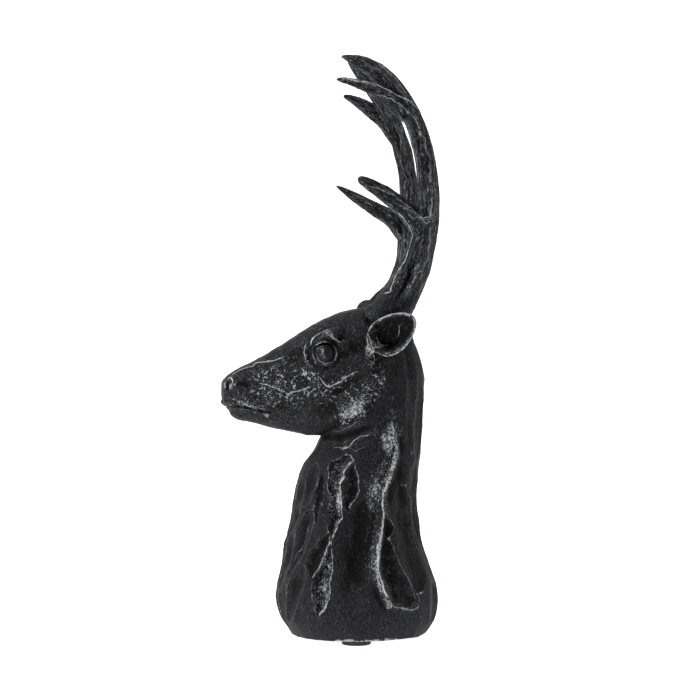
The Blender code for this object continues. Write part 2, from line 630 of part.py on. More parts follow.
def cut_flat(body):
    """Cut an object flat at the height of the underside and close the cut."""
    clay = bmesh.new()
    clay.from_mesh(body.data)
    bmesh.ops.bisect_plane(clay, geom=clay.verts[:] + clay.edges[:] + clay.faces[:],
                           dist=CUT_TOLERANCE, plane_co=(0.0, 0.0, 0.0), plane_no=(0.0, 0.0, 1.0),
                           clear_inner=True)
    rim = [edge for edge in clay.edges if edge.is_boundary]
    bmesh.ops.holes_fill(clay, edges=rim, sides=0)
    bmesh.ops.triangulate(clay, faces=clay.faces[:])
    bmesh.ops.recalc_face_normals(clay, faces=clay.faces[:])
    clay.to_mesh(body.data)
    clay.free()


def link_object(name, mesh, material):
    """Return a new object in the scene, with its mesh and material."""
    mesh.name = name
    mesh.materials.clear()
    mesh.materials.append(material)
    body = bpy.data.objects.new(name, mesh)
    bpy.context.scene.collection.objects.link(body)
    return body


def make_material(name, color, roughness):
    """Return a Principled material of one colour and roughness."""
    material = bpy.data.materials.new(name)
    material.use_nodes = True
    shader = material.node_tree.nodes["Principled BSDF"]
    shader.inputs["Base Color"].default_value = (*color, 1.0)
    shader.inputs["Roughness"].default_value = roughness
    shader.inputs["Metallic"].default_value = 0.0
    return material


def make_casting():
    """Make the casting."""
    paint = make_material("painted_resin", PAINT_COLOR, PAINT_ROUGHNESS)
    body = link_object("deer_head_casting", model_forms(), paint)
    fuse(body)
    carve(body)
    thin_out(body, CASTING_TRIANGLES)
    cut_flat(body)
    body.data.materials.clear()
    body.data.materials.append(paint)
    return body


def make_pads():
    """Make the four pads, each just inside the rim of the casting."""
    rubber = make_material("pad_rubber", RUBBER_COLOR, RUBBER_ROUGHNESS)
    circle = BASE_HALF_WIDTH * UNIT - PAD_INSET - PAD_RADIUS
    middle = -JOINT_GAP - PAD_THICKNESS / 2.0
    pads = []
    for index, name in enumerate(PAD_NAMES):
        turn = PAD_TURN + index * math.pi / 2.0
        clay = bmesh.new()
        bmesh.ops.create_cone(clay, cap_ends=True, segments=PAD_SIDES, radius1=PAD_RADIUS,
                              radius2=PAD_RADIUS, depth=PAD_THICKNESS)
        lower = [edge for edge in clay.edges if all(vert.co.z < 0.0 for vert in edge.verts)]
        bmesh.ops.bevel(clay, geom=lower, offset=PAD_ROUNDING, segments=PAD_ROUNDING_STEPS,
                        affect="EDGES", profile=0.5)
        mesh = bpy.data.meshes.new(name)
        clay.to_mesh(mesh)
        clay.free()
        pad = link_object(name, mesh, rubber)
        pad.location = (circle * math.cos(turn), circle * math.sin(turn), middle)
        pads.append(pad)
    return pads


def stand_on_origin(bodies):
    """Move all bodies together, so that the origin is under the middle of their box."""
    bpy.context.view_layer.update()
    corners = [body.matrix_world @ vertex.co for body in bodies for vertex in body.data.vertices]
    low = Vector([min(corner[axis] for corner in corners) for axis in range(3)])
    high = Vector([max(corner[axis] for corner in corners) for axis in range(3)])
    middle = (low + high) / 2.0
    for body in bodies:
        body.location -= Vector((middle.x, middle.y, low.z))


def main():
    """Build the sculpture in an empty scene."""
    for item in list(bpy.data.objects):
        bpy.data.objects.remove(item)
    casting = make_casting()
    stand_on_origin([casting, *make_pads()])


if __name__ == "__main__":
    main()
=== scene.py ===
"""Deer head sculpture: the looks of a cast bust in black paint with silver brushed over it.

The deer looks along -Y and its left side is +X. The figure is measured in millimetres from
the middle of its flat underside, and set on its pads where the frame has them. It is made
like clay on a bench: closed forms are fused into one body, carved with gouges, chips and
flutes, and painted by where the brush would touch it, with painted shade in its recesses.
"""

import json
import logging
import math
from dataclasses import dataclass, field
from enum import Enum

import bmesh
import bpy
import numpy as np
from mathutils import Matrix, Vector, noise
from mathutils.bvhtree import BVHTree
from mathutils.kdtree import KDTree

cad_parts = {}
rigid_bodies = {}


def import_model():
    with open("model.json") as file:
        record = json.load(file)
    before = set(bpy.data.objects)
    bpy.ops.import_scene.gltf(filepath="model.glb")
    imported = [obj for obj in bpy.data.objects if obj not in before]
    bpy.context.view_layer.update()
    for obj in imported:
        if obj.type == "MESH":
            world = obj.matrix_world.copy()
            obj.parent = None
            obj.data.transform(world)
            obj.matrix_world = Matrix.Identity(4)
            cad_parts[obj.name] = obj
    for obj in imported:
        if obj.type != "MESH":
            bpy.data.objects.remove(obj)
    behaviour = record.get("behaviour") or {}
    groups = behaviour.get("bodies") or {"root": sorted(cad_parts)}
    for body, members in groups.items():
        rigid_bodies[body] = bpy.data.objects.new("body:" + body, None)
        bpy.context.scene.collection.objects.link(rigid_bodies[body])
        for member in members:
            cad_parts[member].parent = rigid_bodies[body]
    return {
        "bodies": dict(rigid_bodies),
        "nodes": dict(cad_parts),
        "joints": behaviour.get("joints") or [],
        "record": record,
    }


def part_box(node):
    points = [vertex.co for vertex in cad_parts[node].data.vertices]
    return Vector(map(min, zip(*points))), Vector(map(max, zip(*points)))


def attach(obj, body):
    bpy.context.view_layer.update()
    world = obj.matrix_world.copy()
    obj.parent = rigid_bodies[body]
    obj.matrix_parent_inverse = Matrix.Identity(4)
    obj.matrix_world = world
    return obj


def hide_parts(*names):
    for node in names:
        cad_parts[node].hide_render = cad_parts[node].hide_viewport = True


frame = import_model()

log = logging.getLogger("deer_head")
MM = 0.001

Socket = bpy.types.NodeSocket
Touch = tuple[Vector, Vector]


class Side(Enum):
    """The two flanks of the figure."""

    LEFT = 1.0
    RIGHT = -1.0


class Area(Enum):
    """The areas of the casting that are chipped with different strokes."""

    NECK = "neck"
    HEAD = "head"
    ANTLERS = "antlers"


@dataclass(frozen=True)
class NeckSection:
    """One level section of the neck, in mm, and how square its front and back are."""

    height: float
    front: float
    back: float
    wide: float
    half_width: float
    front_power: float = 0.85
    back_power: float = 0.85


@dataclass(frozen=True)
class HeadSection:
    """One upright section of the head, in mm, and how square its top and bottom are."""

    along: float
    top: float
    bottom: float
    wide: float
    half_width: float
    top_power: float = 0.85
    bottom_power: float = 0.9


@dataclass(frozen=True)
class Lump:
    """A rounded lump of clay: centre and radii in mm, and its pitch, nose down, in degrees."""

    centre: tuple[float, float, float]
    radii: tuple[float, float, float]
    pitch: float = 0.0


@dataclass(frozen=True)
class LimbPoint:
    """A place along an antler limb, with its half width and half thickness, in mm."""

    x: float
    y: float
    z: float
    half_width: float
    half_depth: float


@dataclass(frozen=True)
class Gouge:
    """A leaf-shaped cut: its place on the form, lean in degrees, and sizes in mm."""

    first: float
    height: float
    lean: float
    half_length: float
    half_width: float
    depth: float


@dataclass(frozen=True)
class Groove:
    """A line on the flank through places (Y, height); a depth below nought is a ridge."""

    places: tuple[tuple[float, float], ...]
    half_width: float
    depth: float
    taper: float = 4.0


@dataclass(frozen=True)
class Leaf:
    """A long cut on the flank.

    Its rows are height, front edge and back edge (Y). It is deepest towards its back where
    the tilt is above nought; wear is the silver on its edges and glow the silver inside.
    """

    rows: tuple[tuple[float, float, float], ...]
    depth: float
    tilt: float = 0.0
    wear: float = 0.3
    glow: float = 0.0


@dataclass(frozen=True)
class Scratch:
    """A thin line that stands up a little and is bright with silver.

    Its places are (Y, height) on the flank, or (X, Y, Z) on an antler.
    """

    places: tuple[tuple[float, ...], ...]
    wear: float = 0.8
    lift: float = 0.22


@dataclass(frozen=True)
class Stroke:
    """A stroke of silver through places (Y, height) on the flank: half width and strength."""

    places: tuple[tuple[float, float], ...]
    half_width: float
    strength: float


@dataclass(frozen=True)
class ChipStroke:
    """How an area is chipped: stroke size along X, Y and Z, and depth, in mm."""

    size: tuple[float, float, float]
    depth: float


def deselect_all() -> None:
    """Leave nothing selected and no object active."""
    bpy.ops.object.select_all(action="DESELECT")
    bpy.context.view_layer.objects.active = None


def take_up(body: bpy.types.Object) -> None:
    """Select one object alone and make it active."""
    deselect_all()
    body.select_set(True)
    bpy.context.view_layer.objects.active = body


def apply_modifier(body: bpy.types.Object, kind: str, **settings: object) -> None:
    """Add a modifier to an object with its settings, and apply it.

    Args:
        body: The object.
        kind: The modifier's type.
        settings: Its settings by name.
    """
    take_up(body)
    modifier = body.modifiers.new(kind.title(), kind)
    for name, value in settings.items():
        setattr(modifier, name, value)
    bpy.ops.object.modifier_apply(modifier=modifier.name)


def rounding_fill(count: int) -> float:
    """Return how much larger a ring of points is drawn, so that its form keeps its size."""
    return 3.0 / (2.0 + math.cos(2.0 * math.pi / count))


def half_power(value: float, power: float) -> float:
    """Return a value raised to a power, with its sign kept."""
    return math.copysign(abs(value) ** power, value)


def move_selected_ring(body: bpy.types.Object, before: list[Vector] | None,
                       ring: list[Vector]) -> None:
    """Move the selected face's corners to a ring of places.

    Args:
        body: The object in edit mode, with one face selected.
        before: The ring on which the corners lie now, or None for a new circle.
        ring: The places that they move to, in mm.
    """
    clay = bmesh.from_edit_mesh(body.data)
    chosen = [face for face in clay.faces if face.select]
    corners = list(chosen[0].verts)
    if before is None:
        for corner, place in zip(corners, ring):
            corner.co = place * MM
    else:
        for corner in corners:
            nearest = min(range(len(ring)), key=lambda i: (corner.co - before[i] * MM).length)
            corner.co = ring[nearest] * MM
    bmesh.update_edit_mesh(body.data)


def loft(name: str, rings: list[list[Vector]]) -> bpy.types.Object:
    """Draw out a closed form through a run of rings.

    Args:
        name: The form's name.
        rings: The rings, from the foot of the form to its end, in mm.

    Returns:
        The new object.
    """
    deselect_all()
    bpy.ops.mesh.primitive_circle_add(vertices=len(rings[0]), radius=MM, fill_type="NGON")
    body = bpy.context.object
    body.name = name
    bpy.ops.object.mode_set(mode="EDIT")
    bpy.ops.mesh.select_all(action="SELECT")
    move_selected_ring(body, None, rings[0])
    for before, ring in zip(rings, rings[1:]):
        bpy.ops.mesh.extrude_region()
        move_selected_ring(body, before, ring)
    bpy.ops.mesh.select_all(action="SELECT")
    bpy.ops.mesh.normals_make_consistent(inside=False)
    bpy.ops.object.mode_set(mode="OBJECT")
    return body


def press_lump(name: str, lump: Lump, side: Side) -> bpy.types.Object:
    """Press one rounded lump of clay onto a flank.

    Args:
        name: The lump's name.
        lump: Its place and sizes.
        side: The flank that it is on.

    Returns:
        The new object.
    """
    x, y, z = lump.centre
    deselect_all()
    bpy.ops.mesh.primitive_ico_sphere_add(
        subdivisions=2, radius=1.0, location=(side.value * x * MM, y * MM, z * MM),
        rotation=(math.radians(lump.pitch), 0.0, 0.0),
        scale=tuple(radius * MM for radius in lump.radii))
    body = bpy.context.object
    body.name = name
    bpy.ops.object.transform_apply(location=True, rotation=True, scale=True)
    return body


def section_pairs(low: float, high: float, wide: float, half_width: float,
                  powers: tuple[float, float], count: int) -> list[tuple[float, float]]:
    """Return the (across, along) places round one section.

    Args:
        low: Where the section starts.
        high: Where it ends.
        wide: Where it is widest.
        half_width: Its half width there.
        powers: How square it is towards low and towards high.
        count: How many places.

    Returns:
        The places, in mm.
    """
    fill = rounding_fill(count)
    pairs = []
    for index in range(count):
        turn = 2.0 * math.pi * index / count
        reach = math.cos(turn)
        power = powers[1] if reach > 0.0 else powers[0]
        across = half_width * half_power(math.sin(turn), power)
        along = reach * ((high - wide) if reach > 0.0 else (wide - low))
        pairs.append((across * fill, wide + along * fill))
    return pairs


@dataclass
class Neck:
    """The neck and its flared, flat base."""

    ring_points: int = 16
    sections: tuple[NeckSection, ...] = (
        NeckSection(-6.0, -42.0, 41.0, 0.0, 38.0),
        NeckSection(1.5, -46.0, 45.8, 0.0, 43.0),
        NeckSection(8.0, -51.4, 50.6, 0.0, 45.3),
        NeckSection(20.0, -55.2, 54.4, 0.0, 46.0),
        NeckSection(35.0, -54.1, 50.8, -1.0, 43.0),
        NeckSection(58.0, -48.9, 42.2, -2.0, 37.5, 0.88),
        NeckSection(85.0, -44.4, 38.4, -1.0, 32.5, 0.9),
        NeckSection(107.0, -39.6, 40.4, 2.0, 29.5, 0.92),
        NeckSection(118.0, -30.5, 41.8, 6.0, 28.0, 0.95),
        NeckSection(128.0, -25.0, 42.8, 8.0, 27.0, 0.95),
        NeckSection(141.0, -20.0, 44.0, 11.0, 26.0, 0.95),
        NeckSection(158.0, -10.0, 44.6, 15.0, 25.0, 0.95, 0.88),
        NeckSection(176.0, -2.0, 43.0, 18.0, 23.0, 0.95, 0.9),
        NeckSection(192.0, 2.0, 38.0, 18.0, 20.0, 1.0, 1.0),
        NeckSection(206.0, 6.0, 28.0, 16.0, 13.0, 1.0, 1.0),
    )
    hollows: tuple[Gouge, ...] = (
        Gouge(-12.0, 62.0, 7.0, 52.0, 15.0, 4.4),
        Gouge(20.0, 48.0, -4.0, 30.0, 8.0, 2.2),
        Gouge(-34.0, 122.0, 60.0, 22.0, 9.0, 1.6),
        Gouge(38.0, 112.0, 4.0, 50.0, 9.0, 1.6),
    )
    leaves: dict[str, Leaf] = field(default_factory=lambda: {
        "long_upper": Leaf(((118.0, -15.0, -10.0), (115.5, -21.6, -8.3), (109.0, -24.0, -13.0),
                            (101.0, -24.2, -15.9), (91.0, -23.2, -15.7), (81.0, -24.1, -16.4),
                            (73.0, -25.9, -19.6), (66.5, -23.6, -23.0)), 2.8, -0.5, 0.5, 0.42),
        "long_lower": Leaf(((60.5, -23.7, -23.2), (56.6, -26.7, -23.3), (50.9, -30.7, -23.5),
                            (44.4, -34.6, -23.9), (39.5, -36.7, -24.3), (33.3, -36.5, -25.6),
                            (27.0, -35.6, -27.5), (21.0, -34.6, -29.8),
                            (15.5, -33.3, -32.9)), 3.2, -0.5, 0.45, 0.42),
        "dark_lower": Leaf(((70.5, -24.9, -23.6), (63.5, -31.7, -24.6), (56.0, -37.1, -27.8),
                            (48.7, -38.8, -32.2), (41.0, -38.1, -36.0),
                            (36.0, -37.4, -37.0)), 2.4, 0.4, 0.4, 0.2),
        "small_dark": Leaf(((114.5, -8.4, -7.6), (106.0, -13.2, -5.9), (98.5, -14.6, -5.4),
                            (92.0, -14.5, -7.6), (87.5, -14.2, -10.0),
                            (82.5, -13.4, -12.8)), 2.4, 0.4, 0.3, 0.25),
        "front_upper": Leaf(((106.0, -28.0, -26.6), (101.5, -30.2, -25.1), (92.0, -32.8, -27.4),
                             (82.0, -33.9, -30.3), (76.0, -33.3, -33.0)), 1.9, -0.4, 0.06, 0.22),
        "pit": Leaf(((80.5, 12.6, 14.2), (77.3, 11.0, 17.3), (72.4, 9.8, 18.9),
                     (68.5, 10.2, 17.8), (66.0, 12.8, 14.0)), 2.2, 0.2, 0.4),
        "behind_ridge": Leaf(((66.5, 9.8, 14.6), (61.0, 8.4, 18.0), (55.0, 7.4, 18.8),
                              (48.5, 7.2, 21.3), (40.0, 8.4, 26.3), (33.0, 11.4, 30.2),
                              (27.0, 14.6, 32.6), (22.0, 19.0, 30.0)), 2.6, 0.3, 0.4, 0.22),
        "back_flank": Leaf(((98.0, 22.0, 28.0), (90.0, 20.6, 30.6), (80.0, 20.2, 31.4),
                            (70.0, 20.0, 31.4), (60.0, 20.8, 34.8), (50.0, 22.8, 39.6),
                            (40.0, 27.0, 41.0), (31.0, 31.4, 39.6)), 2.2, 0.0, 0.25, 0.1),
        "upper_flank": Leaf(((131.0, 24.0, 27.0), (124.0, 22.4, 31.0), (114.0, 20.8, 31.6),
                             (104.0, 20.6, 29.6), (99.0, 21.6, 26.0)), 1.2, 0.0, 0.1),
        "nape": Leaf(((186.0, 27.0, 31.0), (176.0, 27.2, 35.2), (164.0, 28.2, 37.0),
                      (150.0, 28.0, 36.8), (138.0, 27.4, 36.2), (127.0, 28.6, 33.6)), 1.0, 0.0, 0.08),
        "loop": Leaf(((31.5, 23.0, 31.0), (28.0, 20.6, 33.6), (24.0, 20.4, 34.4),
                      (21.0, 22.6, 33.0)), 1.0, 0.0, 0.4, 0.1),
    })
    gouges: tuple[Gouge, ...] = (
        Gouge(-66.0, 62.0, 16.0, 24.0, 6.6, 2.3),
        Gouge(-64.0, 30.0, 14.0, 21.0, 7.2, 2.3),
        Gouge(-66.0, 100.0, 10.0, 15.0, 6.0, 1.8),
        Gouge(66.0, 20.0, 6.0, 16.0, 7.5, 2.0),
        Gouge(66.0, 84.0, -4.0, 30.0, 6.4, 2.3),
        Gouge(68.0, 140.0, 2.0, 28.0, 6.0, 2.0),
        Gouge(-79.0, 18.0, 9.0, 21.0, 6.8, 2.2),
        Gouge(-79.0, 50.0, 9.0, 21.0, 6.8, 2.2),
        Gouge(-79.0, 84.0, 9.0, 21.0, 6.8, 2.2),
        Gouge(-92.0, 16.0, -4.0, 21.0, 6.8, 2.2),
        Gouge(-92.0, 50.0, -4.0, 21.0, 6.8, 2.2),
        Gouge(-92.0, 84.0, -4.0, 21.0, 6.8, 2.2),
        Gouge(84.0, 50.0, 3.0, 23.0, 6.8, 2.2),
        Gouge(86.0, 96.0, -3.0, 24.0, 6.8, 2.2),
        Gouge(85.0, 142.0, 3.0, 24.0, 6.8, 2.2),
        Gouge(90.0, 20.0, 0.0, 18.0, 7.5, 2.2),
    )

    def build(self) -> list[bpy.types.Object]:
        """Return the form of the neck."""
        rings = []
        for one in self.sections:
            pairs = section_pairs(one.front, one.back, one.wide, one.half_width,
                                  (one.front_power, one.back_power), self.ring_points)
            rings.append([Vector((x, y, one.height)) for x, y in pairs])
        return [loft("neck_form", rings)]


@dataclass
class Head:
    """The head without its ears and antlers: skull, cheeks, muzzle and eyes."""

    ring_points: int = 16
    sections: tuple[HeadSection, ...] = (
        HeadSection(-90.4, 165.5, 154.8, 160.0, 6.2),
        HeadSection(-87.8, 169.6, 149.6, 160.5, 9.8),
        HeadSection(-82.0, 173.8, 144.0, 160.5, 11.8),
        HeadSection(-72.0, 178.4, 139.6, 160.0, 12.8, 0.85, 0.85),
        HeadSection(-60.0, 184.2, 136.4, 160.0, 14.2, 0.9, 0.85),
        HeadSection(-48.0, 191.6, 133.2, 163.0, 16.4, 0.92),
        HeadSection(-36.0, 199.6, 130.8, 167.0, 19.0, 0.9, 1.0),
        HeadSection(-24.0, 206.2, 129.8, 170.0, 21.2, 0.85, 1.0),
        HeadSection(-12.0, 211.2, 130.6, 169.0, 23.0, 0.88, 0.95),
        HeadSection(2.0, 214.4, 135.0, 168.0, 24.2, 0.92),
        HeadSection(16.0, 213.5, 142.0, 172.0, 24.0, 1.0),
        HeadSection(29.0, 207.0, 152.0, 178.0, 20.5, 1.0, 1.0),
        HeadSection(38.5, 195.0, 166.0, 182.0, 12.0, 1.0, 1.0),
    )
    lumps: dict[str, Lump] = field(default_factory=lambda: {
        "eyeball": Lump((15.6, -25.3, 185.6), (7.2, 7.2, 7.2)),
        "brow": Lump((13.5, -23.0, 196.0), (8.5, 13.0, 5.0), 22.0),
        "cheekbone": Lump((15.0, -24.0, 173.0), (7.0, 19.0, 6.0), -8.0),
        "masseter": Lump((15.0, -3.0, 157.0), (10.5, 20.0, 21.0)),
        "nostril_wing": Lump((5.2, -84.8, 164.2), (5.0, 5.4, 5.4), 20.0),
        "upper_lip": Lump((5.5, -80.5, 153.6), (6.0, 10.5, 4.6), 6.0),
        "chin": Lump((0.0, -76.0, 145.5), (8.6, 10.0, 5.4), -12.0),
        "tragus": Lump((22.6, 3.6, 187.5), (3.4, 3.4, 6.5), -20.0),
        "burr": Lump((15.5, 9.5, 211.5), (8.0, 8.0, 7.0)),
    })
    hollows: tuple[Gouge, ...] = (
        Gouge(-76.0, 165.5, 88.0, 10.0, 6.0, 1.9),
        Gouge(-10.0, 186.0, 50.0, 13.0, 8.0, 1.9),
        Gouge(-52.0, 151.0, 80.0, 16.0, 5.0, 1.0),
        Gouge(-24.0, 149.0, 80.0, 14.0, 9.0, 1.8),
        Gouge(-42.0, 184.0, 60.0, 12.0, 6.0, 1.3),
        Gouge(8.0, 178.0, 0.0, 14.0, 6.0, 1.6),
    )
    grooves: dict[str, Groove] = field(default_factory=lambda: {
        "jaw": Groove(((-24.0, 129.6), (-15.2, 131.0), (-6.1, 134.0), (2.7, 137.1),
                       (8.0, 141.0)), 4.2, 2.8, 14.0),
        "lips": Groove(((-86.5, 150.6), (-82.6, 150.9), (-76.9, 150.3), (-70.5, 149.0),
                        (-64.9, 147.6), (-59.5, 146.4)), 1.3, 1.3, 8.0),
        "nostril": Groove(((-86.4, 167.6), (-87.6, 165.6), (-87.8, 162.6), (-86.6, 160.6)),
                          1.9, 2.6, 2.0),
        "nostril_rim": Groove(((-82.6, 170.0), (-83.8, 167.0), (-83.0, 162.6),
                               (-85.0, 159.6)), 2.0, -0.5, 4.0),
        "bridge": Groove(((-80.0, 173.6), (-68.4, 177.6), (-60.8, 179.6), (-53.2, 182.2)),
                         3.6, -0.7, 10.0),
        "cheek_arch": Groove(((-30.0, 168.0), (-23.5, 163.7), (-16.5, 167.0), (-10.0, 172.2),
                              (-2.9, 174.7), (0.8, 173.5), (2.3, 166.9)), 3.4, -0.9, 8.0),
        "under_arch": Groove(((-30.0, 163.0), (-23.0, 158.8), (-14.0, 162.5), (-8.0, 168.0)),
                             3.6, 0.8, 8.0),
        "brow_edge": Groove(((-34.0, 193.6), (-27.6, 197.0), (-22.6, 197.6), (-16.6, 191.4),
                             (-12.6, 184.6)), 3.0, -1.1, 8.0),
        "brow_fold": Groove(((-31.5, 192.4), (-26.0, 194.6), (-21.0, 193.2), (-17.4, 189.0)),
                            2.0, 1.2, 5.0),
        "tear_line": Groove(((-33.6, 184.4), (-36.4, 181.4), (-38.0, 177.4)), 1.5, 1.1, 4.0),
        "lid_fold": Groove(((-18.4, 192.1), (-15.4, 188.9), (-12.4, 184.4)), 1.8, 1.2, 4.0),
        "burr_notch": Groove(((2.4, 210.0), (4.0, 206.4), (7.0, 203.6), (11.0, 202.0)),
                             2.4, 1.4, 4.0),
        "main_ridge": Groove(((22.6, 123.6), (20.4, 114.0), (16.8, 105.7), (11.9, 99.8),
                              (10.3, 92.1), (10.8, 84.4), (9.1, 74.2), (8.2, 65.7),
                              (5.9, 58.2), (4.8, 49.7), (5.1, 40.6), (10.1, 30.9),
                              (13.9, 24.0), (20.0, 21.0), (30.8, 19.2)), 5.2, -2.1, 20.0),
    })
    eye_place: tuple[float, float] = (-25.3, 185.6)
    eye_rings: tuple[tuple[float, float, float], ...] = (
        (6.4, 1.0, 1.2), (7.5, 1.1, -0.4), (9.8, 2.6, 0.8),
    )
    eye_ring_points: int = 24
    lip_front: tuple[float, float, float] = (0.0, -88.6, 149.6)
    philtrum: tuple[tuple[float, float, float], ...] = ((0.0, -91.5, 158.0),
                                                        (0.0, -90.6, 150.4))
    philtrum_half_width: float = 1.8
    philtrum_depth: float = 1.4

    def build(self) -> list[bpy.types.Object]:
        """Return the forms of the head."""
        rings = []
        for one in self.sections:
            pairs = section_pairs(one.bottom, one.top, one.wide, one.half_width,
                                  (one.bottom_power, one.top_power), self.ring_points)
            rings.append([Vector((x, one.along, z)) for x, z in pairs])
        forms = [loft("head_form", rings)]
        for name, lump in self.lumps.items():
            for side in Side if lump.centre[0] else (Side.LEFT,):
                forms.append(press_lump(f"{name}_form", lump, side))
        return forms


@dataclass
class Ear:
    """One cupped ear: rings run from the skull over its back to the rim and into the cup."""

    side: Side
    root: tuple[float, float, float] = (17.0, 13.0, 189.0)
    centre: tuple[float, float, float] = (36.0, 15.8, 199.0)
    long_axis: tuple[float, float, float] = (11.4, 12.7, 11.5)
    short_axis: tuple[float, float, float] = (1.4, 7.9, -10.1)
    tip_taper: float = 0.22
    ring_points: int = 14
    rings: tuple[tuple[float, float, float], ...] = (
        (0.00, 0.0, 0.40),
        (0.45, 5.5, 0.58),
        (0.80, 6.5, 0.80),
        (0.97, 3.4, 0.96),
        (1.00, 0.6, 1.02),
        (1.00, -0.6, 0.96),
        (1.00, 0.8, 0.86),
        (0.97, 4.2, 0.72),
        (0.84, 6.8, 0.54),
        (0.66, 6.8, 0.32),
    )

    def build(self) -> list[bpy.types.Object]:
        """Return the form of the ear."""
        root, centre = Vector(self.root), Vector(self.centre)
        long_axis, short_axis = Vector(self.long_axis), Vector(self.short_axis)
        away = long_axis.cross(short_axis).normalized()
        loops = []
        for share, push, size in self.rings:
            middle = root.lerp(centre, share) + away * push
            ring = []
            for index in range(self.ring_points):
                turn = 2.0 * math.pi * index / self.ring_points
                taper = 1.0 - self.tip_taper * math.cos(turn)
                point = middle + long_axis * (size * math.cos(turn))
                point += short_axis * (size * taper * math.sin(turn))
                ring.append(Vector((self.side.value * point.x, point.y, point.z)))
            loops.append(ring)
        return [loft("ear_form", loops)]

    def rim(self) -> list[Vector]:
        """Return the places round the ear's rim."""
        centre = Vector(self.centre)
        places = []
        for index in range(self.ring_points + 1):
            turn = 2.0 * math.pi * index / self.ring_points
            taper = 1.0 - self.tip_taper * math.cos(turn)
            point = centre + Vector(self.long_axis) * math.cos(turn)
            point += Vector(self.short_axis) * (taper * math.sin(turn))
            places.append(Vector((self.side.value * point.x, point.y, point.z)))
        return places


@dataclass
class Antler:
    """One antler: a beam with two tines."""

    side: Side
    beam: tuple[LimbPoint, ...]
    second_tine: tuple[LimbPoint, ...]
    lower_tine: tuple[LimbPoint, ...]
    ring_points: int = 12

    def limbs(self) -> dict[str, tuple[LimbPoint, ...]]:
        """Return the limbs of the antler by name."""
        return {"beam": self.beam, "second_tine": self.second_tine,
                "lower_tine": self.lower_tine}

    def build(self) -> list[bpy.types.Object]:
        """Return the forms of the antler."""
        fill = rounding_fill(self.ring_points)
        forms = []
        for name, limb in self.limbs().items():
            rings = []
            for (centre, wide_axis, deep_axis), point in zip(limb_frames(limb), limb):
                half_width, half_depth = point.half_width * fill, point.half_depth * fill
                ring = []
                for index in range(self.ring_points):
                    turn = 2.0 * math.pi * index / self.ring_points
                    offset = wide_axis * (half_width * math.cos(turn))
                    ring.append(centre + offset + deep_axis * (half_depth * math.sin(turn)))
                rings.append(ring)
            forms.append(loft(f"{name}_form", rings))
        return forms


def limb_frames(limb: tuple[LimbPoint, ...]) -> list[tuple[Vector, Vector, Vector]]:
    """Return the centre, width axis and thickness axis at each point of an antler limb."""
    centres = [Vector((point.x, point.y, point.z)) for point in limb]
    frames = []
    for index, centre in enumerate(centres):
        before = centres[max(index - 1, 0)]
        after = centres[min(index + 1, len(centres) - 1)]
        tangent = (after - before).normalized()
        wide_axis = Vector((1.0, 0.0, 0.0)).cross(tangent).normalized()
        frames.append((centre, wide_axis, tangent.cross(wide_axis)))
    return frames


def limb(*rows: tuple[float, float, float, float, float]) -> tuple[LimbPoint, ...]:
    """Return the points of an antler limb from their rows of sizes."""
    return tuple(LimbPoint(*row) for row in rows)


def left_antler() -> Antler:
    """Return the near antler."""
    return Antler(
        Side.LEFT,
        beam=limb(
            (14.0, 13.0, 200.0, 13.5, 11.0), (17.0, 17.5, 211.0, 13.5, 11.0),
            (20.0, 24.4, 222.0, 12.2, 9.8), (23.5, 30.8, 233.5, 11.4, 8.8),
            (27.5, 35.2, 247.5, 10.0, 7.8), (31.5, 38.0, 260.0, 8.6, 7.2),
            (35.0, 39.8, 276.0, 8.2, 6.6), (37.2, 39.7, 292.0, 7.6, 6.2),
            (37.0, 37.9, 310.0, 6.9, 5.8), (34.8, 33.6, 328.0, 7.0, 5.2),
            (31.5, 29.2, 340.5, 6.2, 4.8), (28.0, 24.3, 350.9, 5.8, 4.2),
            (24.5, 16.5, 360.6, 6.4, 3.8), (21.5, 9.2, 367.1, 6.8, 3.4),
            (18.0, -0.2, 372.8, 5.4, 2.8), (15.0, -8.6, 376.2, 2.8, 1.8),
            (14.0, -14.6, 377.4, 0.8, 0.8)),
        second_tine=limb(
            (33.0, 29.0, 335.0, 5.0, 3.6), (30.5, 21.5, 345.4, 6.6, 3.8),
            (29.2, 13.5, 351.4, 5.4, 3.6), (28.0, 5.0, 356.0, 4.0, 3.0),
            (27.0, -5.0, 359.6, 3.2, 2.6), (26.2, -13.5, 361.7, 2.4, 1.9),
            (26.0, -19.6, 362.4, 1.1, 1.1)),
        lower_tine=limb(
            (33.0, 37.0, 260.0, 5.0, 4.6), (34.0, 30.0, 273.5, 6.8, 5.0),
            (35.0, 20.5, 282.2, 6.2, 4.8), (35.6, 11.3, 288.8, 5.4, 4.4),
            (36.0, 2.7, 294.0, 4.6, 3.8), (36.2, -3.2, 297.4, 3.6, 3.0),
            (36.2, -7.0, 299.4, 1.8, 1.6)))


